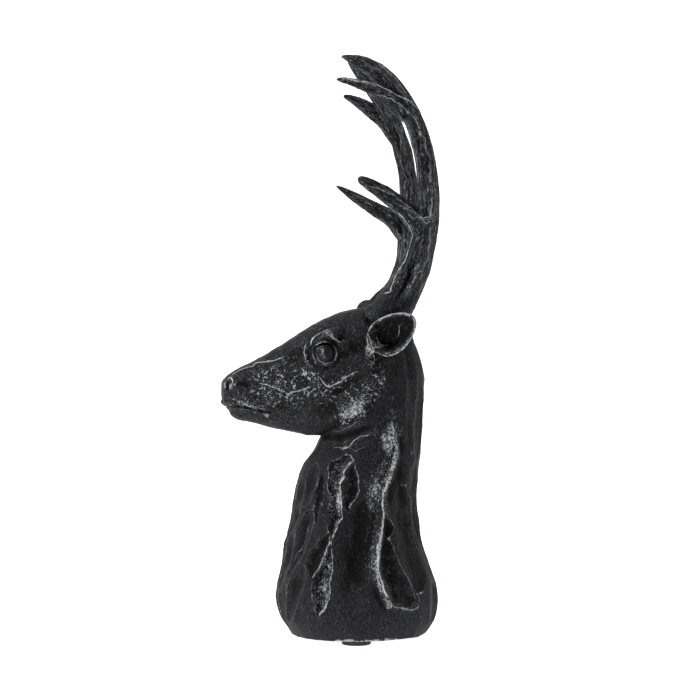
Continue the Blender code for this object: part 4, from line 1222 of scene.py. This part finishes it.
    def carve(self, body: bpy.types.Object) -> None:
        """Cut every hollow, gouge, flute, groove and chip into the fused casting."""
        self.read(body)
        mesh = body.data
        points = np.empty(len(mesh.vertices) * 3)
        normals = np.empty(len(mesh.vertices) * 3)
        mesh.vertices.foreach_get("co", points)
        mesh.vertex_normals.foreach_get("vector", normals)
        points, normals = points.reshape(-1, 3) / MM, normals.reshape(-1, 3)
        cuts = CutField(len(points))
        self.grain = points / (1.0, 1.0, self.grain_stretch)
        strayed = self.stray(points, normals)
        glow = self.cut_leaves(strayed, cuts)
        self.cut_gouges(strayed, cuts)
        self.cut_flutes(strayed, cuts)
        chip_depth, chip_side, chip_gap = self.cut_chips(points)
        share = self.chip_share(points)
        depth = self.hollow_depth(points) + cuts.best + self.groove_depth(points)
        depth += chip_depth * share
        ridge_side, ridge_gap = cuts.ridges()
        lift, ridge_side, ridge_gap, wear = self.draw_scratches(
            strayed, normals, ridge_side, ridge_gap, cuts.wear)
        depth -= lift
        self.keep(mesh, "ridge_side", ridge_side)
        self.keep(mesh, "ridge_gap", ridge_gap)
        self.keep(mesh, "ridge_wear", wear)
        self.keep(mesh, "chip_side", chip_side)
        self.keep(mesh, "chip_gap", chip_gap + 4.0 * (1.0 - share))
        self.keep(mesh, "brush", np.clip(self.brush(points) + glow, 0.0, 1.5))
        areas = self.areas(points)
        self.keep(mesh, "streaky", areas[Area.ANTLERS] + 0.4 * areas[Area.NECK])
        grain = mesh.attributes.new("grain", "FLOAT_VECTOR", "POINT")
        grain.data.foreach_set("vector", (self.grain * MM).astype(np.float32).ravel())
        mesh.vertices.foreach_set("co", ((points - normals * depth[:, None]) * MM).ravel())
        mesh.update()

    def draw_scratches(self, points: np.ndarray, normals: np.ndarray, side: np.ndarray,
                       gap: np.ndarray, wear: np.ndarray) -> tuple[np.ndarray, ...]:
        """Lay the bright thin lines over the ridges between cuts.

        Args:
            points: The points, in mm.
            normals: The skin's normals at them.
            side: The distance to the nearest ridge, with its side.
            gap: The same without its side.
            wear: How bright that ridge is.

        Returns:
            How far the lines stand up, and side, gap and wear with the lines in them.
        """
        lift = np.zeros(len(points))
        side, gap, wear = side.copy(), gap.copy(), wear.copy()
        runs = []
        for scratch in self.scratches.values():
            if len(scratch.places[0]) == 3:
                runs.append((scratch, [self.tree.find_nearest(Vector(place))[0]
                                       for place in scratch.places]))
            else:
                route = self.flank_route(scratch.places)
                runs.append((scratch, route))
                runs.append((scratch, [mirrored(place) for place in route]))
        for ear in self.ears:
            runs.append((Scratch((), 1.0, 0.1), ear.rim()))
        for scratch, route in runs:
            distance, from_end = line_distance(points, route)
            closed = (route[0] - route[-1]).length < 1.0
            fade = 1.0 if closed else np.clip(from_end / 3.0 + 0.2, 0.0, 1.0)
            near = np.flatnonzero((distance < gap) & (distance < 2.6))
            side[near] = distance[near] * self.line_side(points[near], normals[near], route)
            gap[near] = distance[near]
            wear[near] = scratch.wear * (fade[near] if not closed else 1.0)
            profile = np.clip(1.0 - (distance / 1.4) ** 2, 0.0, None) ** 2
            lift = np.maximum(lift, scratch.lift * profile * fade)
        return lift, side, gap, wear

    def line_side(self, points: np.ndarray, normals: np.ndarray,
                  route: list[Vector]) -> np.ndarray:
        """Return on which side of a run of places each point lies, 1 or -1."""
        nearest = np.full(len(points), np.inf)
        side = np.ones(len(points))
        for start, end in zip(route, route[1:]):
            first, along = np.array(start), np.array(end) - np.array(start)
            share = np.clip((points - first) @ along / max(along @ along, 1e-9), 0.0, 1.0)
            gap = points - first - share[:, None] * along
            square = np.einsum("ij,ij->i", gap, gap)
            way = np.einsum("ij,ij->i", np.cross(normals, along), gap)
            side = np.where(square < nearest, np.where(way < 0.0, -1.0, 1.0), side)
            nearest = np.minimum(square, nearest)
        return side

    def keep(self, mesh: bpy.types.Mesh, name: str, values: np.ndarray) -> None:
        """Keep one value a point on a mesh, for the paint."""
        found = mesh.attributes.get(name) or mesh.attributes.new(name, "FLOAT", "POINT")
        found.data.foreach_set("value", values.astype(np.float32))

    def brush(self, points: np.ndarray) -> np.ndarray:
        """Return how heavily silver was brushed on each point, and the eyes' painted highlight."""
        total = np.zeros(len(points))
        for area, share in self.areas(points).items():
            total += self.base_brush[area] * share
        for stroke in self.strokes:
            route = self.flank_route(stroke.places)
            for run in (route, [mirrored(place) for place in route]):
                distance, _ = line_distance(points, run)
                total += stroke.strength * np.exp(-(distance / stroke.half_width) ** 2)
        for ear in self.ears:
            distance, _ = line_distance(points, ear.rim())
            total += self.rim_strength * np.exp(-(distance / self.rim_width) ** 2)
        eye = Vector(self.head.lumps["eyeball"].centre)
        for side in Side:
            place = np.array((side.value * eye.x, eye.y, eye.z))
            distance = np.linalg.norm(points - place, axis=1)
            total *= np.clip((distance - 5.0) / 4.0, self.eye_share, 1.0)
        return np.clip(total, 0.0, 1.5)

    def measure_lift(self, body: bpy.types.Object) -> None:
        """Keep how far each point stands above what is round it, finely and broadly."""
        mesh = body.data
        count = len(mesh.vertices)
        points = np.empty(count * 3)
        normals = np.empty(count * 3)
        edges = np.empty(len(mesh.edges) * 2, int)
        mesh.vertices.foreach_get("co", points)
        mesh.vertex_normals.foreach_get("vector", normals)
        mesh.edges.foreach_get("vertices", edges)
        points, normals = points.reshape(-1, 3) / MM, normals.reshape(-1, 3)
        first, second = edges.reshape(-1, 2).T
        both = np.concatenate((first, second))
        others = np.concatenate((second, first))
        shared = np.bincount(both, minlength=count)
        smooth = points.copy()
        for step in range(1, self.broad_passes + 1):
            mean = np.stack([np.bincount(both, smooth[others, axis], count)
                             for axis in range(3)], axis=1) / shared[:, None]
            smooth = 0.5 * smooth + 0.5 * mean
            if step == self.fine_passes:
                self.keep(mesh, "lift_fine", np.einsum("ij,ij->i", points - smooth, normals))
        self.keep(mesh, "lift_broad", np.einsum("ij,ij->i", points - smooth, normals))


class Sheet:
    """A material's sheet of nodes."""

    def __init__(self, name: str) -> None:
        self.material = bpy.data.materials.new(name)
        self.material.use_nodes = True
        self.nodes = self.material.node_tree.nodes
        self.links = self.material.node_tree.links
        self.shader = self.nodes["Principled BSDF"]
        self.places = self.nodes.new("ShaderNodeTexCoord").outputs["Object"]

    def fill(self, socket: Socket, value: Socket | float | tuple[float, ...]) -> None:
        """Link a socket, or set the value on it."""
        if isinstance(value, bpy.types.NodeSocket):
            self.links.new(value, socket)
        else:
            socket.default_value = value

    def math(self, operation: str, first: Socket | float, second: Socket | float = 0.0,
             clamp: bool = False) -> Socket:
        """Return the result of one sum on two values."""
        node = self.nodes.new("ShaderNodeMath")
        node.operation = operation
        node.use_clamp = clamp
        self.fill(node.inputs[0], first)
        self.fill(node.inputs[1], second)
        return node.outputs[0]

    def attribute(self, name: str) -> Socket:
        """Return a value that is kept on the mesh."""
        node = self.nodes.new("ShaderNodeAttribute")
        node.attribute_name = name
        return node.outputs["Fac"]

    def kept_places(self, name: str) -> Socket:
        """Return the places that are kept on the mesh under a name."""
        node = self.nodes.new("ShaderNodeAttribute")
        node.attribute_name = name
        return node.outputs["Vector"]

    def noise(self, size: float, detail: float = 2.0, roughness: float = 0.5,
              stretch: tuple[float, float, float] = (1.0, 1.0, 1.0),
              places: Socket | None = None) -> Socket:
        """Return a noise whose lumps have a size in mm.

        Args:
            size: The size of its lumps.
            detail: How many finer layers it has.
            roughness: How strong they are.
            stretch: How far the lumps are drawn out along X, Y and Z.
            places: The places to read it at, the object's own where none are given.

        Returns:
            The noise, about 0.5 in the middle.
        """
        mapping = self.nodes.new("ShaderNodeMapping")
        mapping.inputs["Scale"].default_value = tuple(1.0 / part for part in stretch)
        self.links.new(places or self.places, mapping.inputs["Vector"])
        node = self.nodes.new("ShaderNodeTexNoise")
        node.inputs["Scale"].default_value = 1.0 / (size * MM)
        node.inputs["Detail"].default_value = detail
        node.inputs["Roughness"].default_value = roughness
        self.links.new(mapping.outputs["Vector"], node.inputs["Vector"])
        return node.outputs["Fac"]

    def ramp(self, value: Socket, low: Socket | float, high: Socket | float,
             start: float = 0.0, end: float = 1.0) -> Socket:
        """Return a value's soft step from start to end between low and high."""
        node = self.nodes.new("ShaderNodeMapRange")
        node.interpolation_type = "SMOOTHSTEP"
        self.fill(node.inputs["Value"], value)
        self.fill(node.inputs["From Min"], low)
        self.fill(node.inputs["From Max"], high)
        node.inputs["To Min"].default_value = start
        node.inputs["To Max"].default_value = end
        return node.outputs["Result"]

    def blend(self, share: Socket, first: Socket, second: Socket) -> Socket:
        """Return a value between two others."""
        node = self.nodes.new("ShaderNodeMix")
        self.links.new(share, node.inputs["Factor"])
        self.links.new(first, node.inputs["A"])
        self.links.new(second, node.inputs["B"])
        return node.outputs["Result"]

    def mix(self, share: Socket, first: tuple[float, ...] | Socket,
            second: tuple[float, ...] | Socket) -> Socket:
        """Return a colour between two others."""
        node = self.nodes.new("ShaderNodeMix")
        node.data_type = "RGBA"
        self.links.new(share, node.inputs["Factor"])
        self.fill(node.inputs["A"], first)
        self.fill(node.inputs["B"], second)
        return node.outputs["Result"]

    def bump(self, height: Socket, depth: float, strength: float,
             after: Socket | None = None) -> Socket:
        """Return a bumped normal from a height, with its depth in mm."""
        node = self.nodes.new("ShaderNodeBump")
        node.inputs["Distance"].default_value = depth * MM
        node.inputs["Strength"].default_value = strength
        self.links.new(height, node.inputs["Height"])
        if after is not None:
            self.links.new(after, node.inputs["Normal"])
        return node.outputs["Normal"]


@dataclass(frozen=True)
class PaintedResin:
    """Black satin paint, painted shade in its recesses, and silver brushed dry over its edges."""

    # black is the ground in recesses, where it is painted shade; charcoal is the ground on raised
    # places.
    black: tuple[float, float, float, float] = (0.0018, 0.0018, 0.0022, 1.0)
    charcoal: tuple[float, float, float, float] = (0.007, 0.007, 0.0085, 1.0)
    silver: tuple[float, float, float, float] = (0.66, 0.67, 0.69, 1.0)
    line_width: float = 0.56
    chip_width: float = 0.24
    low_roughness: float = 0.42
    high_roughness: float = 0.62

    def line(self, sheet: Sheet, side: str, gap: str, width: float, wear: Socket) -> Socket:
        """Return the silver on the ridges that two kept distances give.

        Args:
            sheet: The material's sheet.
            side: The name of the distance that has a side.
            gap: The name of the distance that has none.
            width: The half width of the line, in mm.
            wear: How wide the line is here, about 0 to 1.

        Returns:
            How much silver shows, 0 to 1.
        """
        distance = sheet.math("ABSOLUTE", sheet.attribute(side))
        room = sheet.math("MULTIPLY", wear, width)
        inner = sheet.math("MULTIPLY", room, 0.3)
        near = sheet.ramp(distance, inner, sheet.math("ADD", room, 0.02), 1.0, 0.0)
        return sheet.math("MULTIPLY", near, sheet.ramp(sheet.attribute(gap), 1.0, 1.8, 1.0, 0.0))

    def make(self) -> bpy.types.Material:
        """Return the material."""
        sheet = Sheet("painted_resin")
        grit = sheet.noise(0.9, 2.5, 0.65)
        round_speck = sheet.noise(0.44, 2.0, 0.6, (1.0, 1.0, 1.3))
        grain = sheet.kept_places("grain")
        long_speck = sheet.noise(0.46, 2.0, 0.6, places=grain)
        streaky = sheet.attribute("streaky")
        speck = sheet.blend(streaky, round_speck, long_speck)
        streaks = sheet.noise(1.7, 3.0, 0.65, places=grain)
        flecks = sheet.blend(sheet.ramp(streaky, 0.4, 1.0), sheet.noise(1.7, 2.0, 0.6), streaks)
        patch = sheet.noise(11.0, 3.0, 0.6, (1.0, 1.0, 1.6))
        breaks = sheet.noise(4.5, 2.0, 0.6)
        veins = sheet.noise(6.4, 4.0, 0.66)
        vein_breaks = sheet.noise(2.4, 2.0, 0.5)
        brush, wear = sheet.attribute("brush"), sheet.attribute("ridge_wear")
        fine, broad = sheet.attribute("lift_fine"), sheet.attribute("lift_broad")

        spread = sheet.ramp(breaks, 0.32, 0.6, 0.5, 1.2)
        ridge = self.line(sheet, "ridge_side", "ridge_gap", self.line_width,
                          sheet.math("MULTIPLY", wear, spread))
        ridge = sheet.math("MULTIPLY", ridge, sheet.ramp(wear, 0.15, 0.9, 0.08, 0.9))
        off_vein = sheet.math("ABSOLUTE", sheet.math("SUBTRACT", veins, 0.5))
        vein = sheet.math("MULTIPLY", sheet.ramp(off_vein, 0.008, 0.026, 1.0, 0.0),
                          sheet.ramp(vein_breaks, 0.48, 0.6))
        vein = sheet.math("MULTIPLY", vein, sheet.ramp(brush, 0.14, 0.5, 0.04, 1.0))
        vein = sheet.math("MULTIPLY", vein, sheet.ramp(streaky, 0.05, 0.4, 1.0, 0.12))
        edge = sheet.math("MULTIPLY", sheet.ramp(fine, 0.14, 0.4),
                          sheet.ramp(breaks, 0.42, 0.62, 0.1, 0.6))
        lines = sheet.math("MAXIMUM", ridge, sheet.math("MAXIMUM", vein, edge))
        lines = sheet.math("MULTIPLY", lines, sheet.ramp(grit, 0.34, 0.56, 0.35, 1.0))

        # How raised and brushed each place is: it sets the silver dust and the painted shade of the
        # ground.
        lifted = sheet.math("MULTIPLY", sheet.ramp(broad, -1.0, 0.6),
                            sheet.ramp(brush, 0.02, 0.06, 0.1, 1.0))
        weight = sheet.math("MULTIPLY", brush, sheet.ramp(patch, 0.3, 0.62, 0.45, 1.2))
        weight = sheet.math("MULTIPLY", weight, sheet.ramp(broad, -1.2, 0.5, 0.4, 1.15))
        start = sheet.math("SUBTRACT", 0.65, sheet.math("MULTIPLY", weight, 0.2))
        specks = sheet.ramp(speck, start, sheet.math("ADD", start, 0.19))
        specks = sheet.math("MULTIPLY", specks, sheet.ramp(flecks, 0.38, 0.6, 0.15, 1.0))
        dust = sheet.math("MULTIPLY", sheet.ramp(speck, 0.42, 0.7, 0.0, 0.075),
                          sheet.ramp(lifted, 0.1, 0.9, 0.35, 1.2))
        streak = sheet.math("MULTIPLY", sheet.ramp(streaks, 0.5, 0.68, 0.0, 0.14),
                            sheet.ramp(streaky, 0.4, 1.0))
        specks = sheet.math("MAXIMUM", specks, sheet.math("ADD", dust, streak))

        silver = sheet.math("MAXIMUM", lines, sheet.math("MULTIPLY", specks, 0.9), clamp=True)
        # Painted shade: the ground is black in recesses and charcoal on raised places, in random
        # patches.
        ground = sheet.mix(sheet.ramp(sheet.math("MULTIPLY", patch, lifted), 0.15, 0.6),
                           self.black, self.charcoal)
        color = sheet.mix(silver, ground, self.silver)
        sheet.links.new(color, sheet.shader.inputs["Base Color"])
        sheet.links.new(sheet.ramp(speck, 0.3, 0.7, self.low_roughness, self.high_roughness),
                        sheet.shader.inputs["Roughness"])
        sheet.shader.inputs["Specular IOR Level"].default_value = 0.045
        grain = sheet.bump(speck, 0.3, 0.6)
        soft = sheet.bump(sheet.noise(2.6, 2.0, 0.5, (1.0, 1.0, 1.6)), 0.35, 0.4, grain)
        sheet.links.new(soft, sheet.shader.inputs["Normal"])
        return sheet.material


@dataclass(frozen=True)
class PadRubber:
    """Matt black rubber with a fine grain."""

    color: tuple[float, float, float, float] = (0.012, 0.012, 0.012, 1.0)
    dusty: tuple[float, float, float, float] = (0.03, 0.03, 0.031, 1.0)

    def make(self) -> bpy.types.Material:
        """Return the material."""
        sheet = Sheet("pad_rubber")
        dust = sheet.noise(4.0, 3.0)
        sheet.links.new(sheet.mix(sheet.ramp(dust, 0.4, 0.7), self.color, self.dusty),
                        sheet.shader.inputs["Base Color"])
        sheet.links.new(sheet.ramp(dust, 0.3, 0.7, 0.6, 0.85), sheet.shader.inputs["Roughness"])
        sheet.links.new(sheet.bump(sheet.noise(0.4), 0.05, 0.5), sheet.shader.inputs["Normal"])
        return sheet.material


@dataclass
class Casting:
    """The whole casting: forms fused into one body, carved, thinned and cut flat."""

    origin: Vector
    neck: Neck = field(default_factory=Neck)
    head: Head = field(default_factory=Head)
    ears: list[Ear] = field(default_factory=lambda: [Ear(side) for side in Side])
    antlers: list[Antler] = field(default_factory=lambda: [left_antler(), right_antler()])
    form_levels: int = 2
    grain: float = 0.72
    smooth_factor: float = 0.5
    smooth_passes: int = 3
    triangles: int = 192000

    def build(self, finish: PaintedResin) -> bpy.types.Object:
        """Build the casting and paint it.

        Args:
            finish: Its paint.

        Returns:
            The finished piece.
        """
        forms = []
        for part in (self.neck, self.head, *self.ears, *self.antlers):
            forms.extend(part.build())
        body = self.fuse(forms)
        carver = Carver(self.neck, self.head, self.ears, self.antlers)
        carver.carve(body)
        count = sum(len(face.vertices) - 2 for face in body.data.polygons)
        if count > self.triangles:
            apply_modifier(body, "DECIMATE", ratio=self.triangles / count)
        self.cut_flat(body)
        carver.measure_lift(body)
        body.name = "painted_casting"
        body.data.name = body.name
        body.data.materials.clear()
        body.data.materials.append(finish.make())
        bpy.ops.object.shade_smooth()
        body.data.transform(Matrix.Translation(self.origin))
        return body

    def fuse(self, forms: list[bpy.types.Object]) -> bpy.types.Object:
        """Fuse closed forms into one body of even grain."""
        deselect_all()
        for form in forms:
            form.select_set(True)
        bpy.context.view_layer.objects.active = forms[0]
        bpy.ops.object.join()
        body = bpy.context.object
        bpy.ops.object.transform_apply(location=True, rotation=True, scale=True)
        apply_modifier(body, "SUBSURF", levels=self.form_levels,
                       render_levels=self.form_levels)
        apply_modifier(body, "REMESH", mode="VOXEL", voxel_size=self.grain * MM)
        apply_modifier(body, "SMOOTH", factor=self.smooth_factor, iterations=self.smooth_passes)
        return body

    def cut_flat(self, body: bpy.types.Object) -> None:
        """Cut the underside flat and close it."""
        take_up(body)
        bpy.ops.object.mode_set(mode="EDIT")
        bpy.ops.mesh.select_all(action="SELECT")
        bpy.ops.mesh.bisect(plane_co=(0.0, 0.0, 0.0), plane_no=(0.0, 0.0, 1.0),
                            use_fill=True, clear_inner=True, threshold=0.05 * MM)
        bpy.ops.mesh.select_all(action="SELECT")
        bpy.ops.mesh.quads_convert_to_tris()
        bpy.ops.mesh.normals_make_consistent(inside=False)
        bpy.ops.object.mode_set(mode="OBJECT")


@dataclass
class Pad:
    """One round stick-on pad, where its solid stands."""

    node: str
    sides: int = 64
    rounding: float = 0.6
    inset: float = 2.0
    dish: float = 0.12

    def build(self, rubber: bpy.types.Material) -> bpy.types.Object:
        """Build the pad and dress it.

        Args:
            rubber: Its material.

        Returns:
            The finished piece.
        """
        low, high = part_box(self.node)
        middle = (low + high) / 2.0
        deselect_all()
        bpy.ops.mesh.primitive_cylinder_add(
            vertices=self.sides, radius=(high.x - low.x) / 2.0, depth=high.z - low.z,
            end_fill_type="NGON", location=middle)
        body = bpy.context.object
        bpy.ops.object.transform_apply(location=True, rotation=True, scale=True)
        bpy.ops.object.mode_set(mode="EDIT")
        self.select_faces(body, -1.0)
        bpy.ops.mesh.bevel(offset=self.rounding * MM, segments=4, affect="EDGES")
        self.select_faces(body, 1.0)
        bpy.ops.mesh.inset(thickness=self.rounding * MM, depth=-self.dish * MM)
        bpy.ops.object.mode_set(mode="OBJECT")
        body.name = f"{self.node}_disc"
        body.data.name = body.name
        body.data.materials.append(rubber)
        bpy.ops.object.shade_smooth_by_angle(angle=math.radians(40.0))
        return body

    def select_faces(self, body: bpy.types.Object, way: float) -> None:
        """Select the flat end of the pad that faces up (1) or down (-1)."""
        bpy.ops.mesh.select_mode(type="FACE")
        bpy.ops.mesh.select_all(action="DESELECT")
        clay = bmesh.from_edit_mesh(body.data)
        for face in clay.faces:
            face.select_set(face.normal.z * way > 0.9)
        bmesh.update_edit_mesh(body.data)


@dataclass
class Softbox:
    """A soft studio light: where it stands round the figure, its size and its power."""

    name: str
    azimuth: float
    height: float
    reach: float
    size: tuple[float, float]
    power: float

    def build(self, target: Vector) -> None:
        """Set the light up, turned to a target."""
        turn = math.radians(self.azimuth)
        place = target + Vector((math.cos(turn), math.sin(turn), 0.0)) * self.reach
        place.z = self.height
        deselect_all()
        bpy.ops.object.light_add(type="AREA", location=place)
        lamp = bpy.context.object
        lamp.name = self.name
        lamp.data.shape = "RECTANGLE"
        lamp.data.size, lamp.data.size_y = self.size
        lamp.data.energy = self.power
        lamp.rotation_euler = (target - place).to_track_quat("-Z", "Y").to_euler()


@dataclass
class Studio:
    """A white sweep, soft lights and the camera."""

    origin: Vector
    ground: float
    target: tuple[float, float, float] = (0.0, -5.3, 186.0)
    camera_turn: float = -10.0
    camera_reach: float = 2000.0
    camera_height: float = 335.0
    lens: float = 157.5
    floor_half: float = 2.4
    floor_front: float = 0.45
    wall_height: float = 3.2
    sweep: float = 0.6
    world_light: float = 0.03
    sweep_glow: float = 0.9
    lamps: tuple[Softbox, ...] = (
        Softbox("softbox_front", -84.0, 0.75, 1.1, (0.5, 1.2), 11.0),
        Softbox("softbox_back", 92.0, 0.6, 1.1, (0.4, 1.2), 6.0),
        Softbox("softbox_above", -50.0, 1.6, 0.5, (0.9, 0.9), 16.0),
    )

    def build(self) -> None:
        """Set the studio up."""
        self.build_sweep()
        aim = self.origin + Vector(self.target) * MM
        for lamp in self.lamps:
            lamp.build(aim)
        self.build_camera(aim)
        world = bpy.data.worlds.new("studio_air")
        world.use_nodes = True
        back = world.node_tree.nodes["Background"]
        back.inputs["Color"].default_value = (1.0, 1.0, 1.0, 1.0)
        back.inputs["Strength"].default_value = self.world_light
        bpy.context.scene.world = world
        bpy.context.scene.view_settings.view_transform = "Standard"

    def build_sweep(self) -> None:
        """Lay the white floor, with its wall swept up behind the figure."""
        deselect_all()
        bpy.ops.mesh.primitive_plane_add(size=2.0 * self.floor_half,
                                         location=(0.0, 0.0, self.ground))
        floor = bpy.context.object
        floor.name = "floor"
        bpy.ops.object.transform_apply(location=True, rotation=True, scale=True)
        bpy.ops.object.mode_set(mode="EDIT")
        bpy.ops.mesh.select_mode(type="EDGE")
        bpy.ops.mesh.select_all(action="DESELECT")
        clay = bmesh.from_edit_mesh(floor.data)
        for edge in clay.edges:
            edge.select_set(all(corner.co.x < 0.0 for corner in edge.verts))
        for corner in clay.verts:
            corner.co.x = min(corner.co.x, self.floor_front)
        bmesh.update_edit_mesh(floor.data)
        bpy.ops.mesh.extrude_region_move(
            TRANSFORM_OT_translate={"value": (0.0, 0.0, self.wall_height)})
        clay = bmesh.from_edit_mesh(floor.data)
        for edge in clay.edges:
            low = all(abs(corner.co.z - self.ground) < MM for corner in edge.verts)
            edge.select_set(low and all(corner.co.x < 0.0 for corner in edge.verts))
        bmesh.update_edit_mesh(floor.data)
        bpy.ops.mesh.bevel(offset=self.sweep, segments=12, affect="EDGES")
        bpy.ops.object.mode_set(mode="OBJECT")
        bpy.ops.object.shade_smooth()
        sheet = Sheet("white_sweep")
        sheet.shader.inputs["Base Color"].default_value = (0.92, 0.92, 0.92, 1.0)
        sheet.shader.inputs["Roughness"].default_value = 0.9
        sheet.shader.inputs["Emission Color"].default_value = (1.0, 1.0, 1.0, 1.0)
        sheet.shader.inputs["Emission Strength"].default_value = self.sweep_glow
        floor.data.materials.append(sheet.material)

    def build_camera(self, aim: Vector) -> None:
        """Set the camera where the photograph was taken from."""
        turn = math.radians(self.camera_turn)
        reach = self.camera_reach * MM
        place = Vector((aim.x + reach * math.cos(turn), aim.y + reach * math.sin(turn),
                        self.origin.z + self.camera_height * MM))
        deselect_all()
        bpy.ops.object.camera_add(location=place)
        camera = bpy.context.object
        camera.name = "studio_camera"
        camera.rotation_euler = (aim - place).to_track_quat("-Z", "Y").to_euler()
        camera.data.lens = self.lens
        camera.data.sensor_width = 36.0
        camera.data.clip_end = 20.0
        bpy.context.scene.camera = camera


def figure_origin(pads: tuple[str, ...], joint_gap: float) -> tuple[Vector, float]:
    """Find where the middle of the casting's underside is, from the pads under it.

    Args:
        pads: The names of the pads' solids.
        joint_gap: The layer of glue between a pad and the casting, in mm.

    Returns:
        The origin of the figure, and the height on which the pads stand.
    """
    boxes = [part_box(name) for name in pads]
    middle = sum(((low + high) / 2.0 for low, high in boxes), Vector()) / len(boxes)
    top = max(high.z for _, high in boxes) + joint_gap * MM
    return Vector((middle.x, middle.y, top)), min(low.z for low, _ in boxes)


def finish_piece(piece: bpy.types.Object, node: str) -> None:
    """Tie a finished piece to the frame and report it."""
    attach(piece, "root")
    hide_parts(node)
    log.info("%s: %d faces, for %s", piece.name, len(piece.data.polygons), node)


def main() -> None:
    """Build the sculpture's looks and its studio."""
    logging.basicConfig(level=logging.INFO, format="%(message)s")
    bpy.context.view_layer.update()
    pads = ("pad_left", "pad_back", "pad_right", "pad_front")
    origin, ground = figure_origin(pads, joint_gap=0.3)
    casting = Casting(origin).build(PaintedResin())
    finish_piece(casting, "deer_head_casting")
    rubber = PadRubber().make()
    for name in pads:
        finish_piece(Pad(name).build(rubber), name)
    Studio(origin, ground).build()
    deselect_all()


if __name__ == "__main__":
    main()
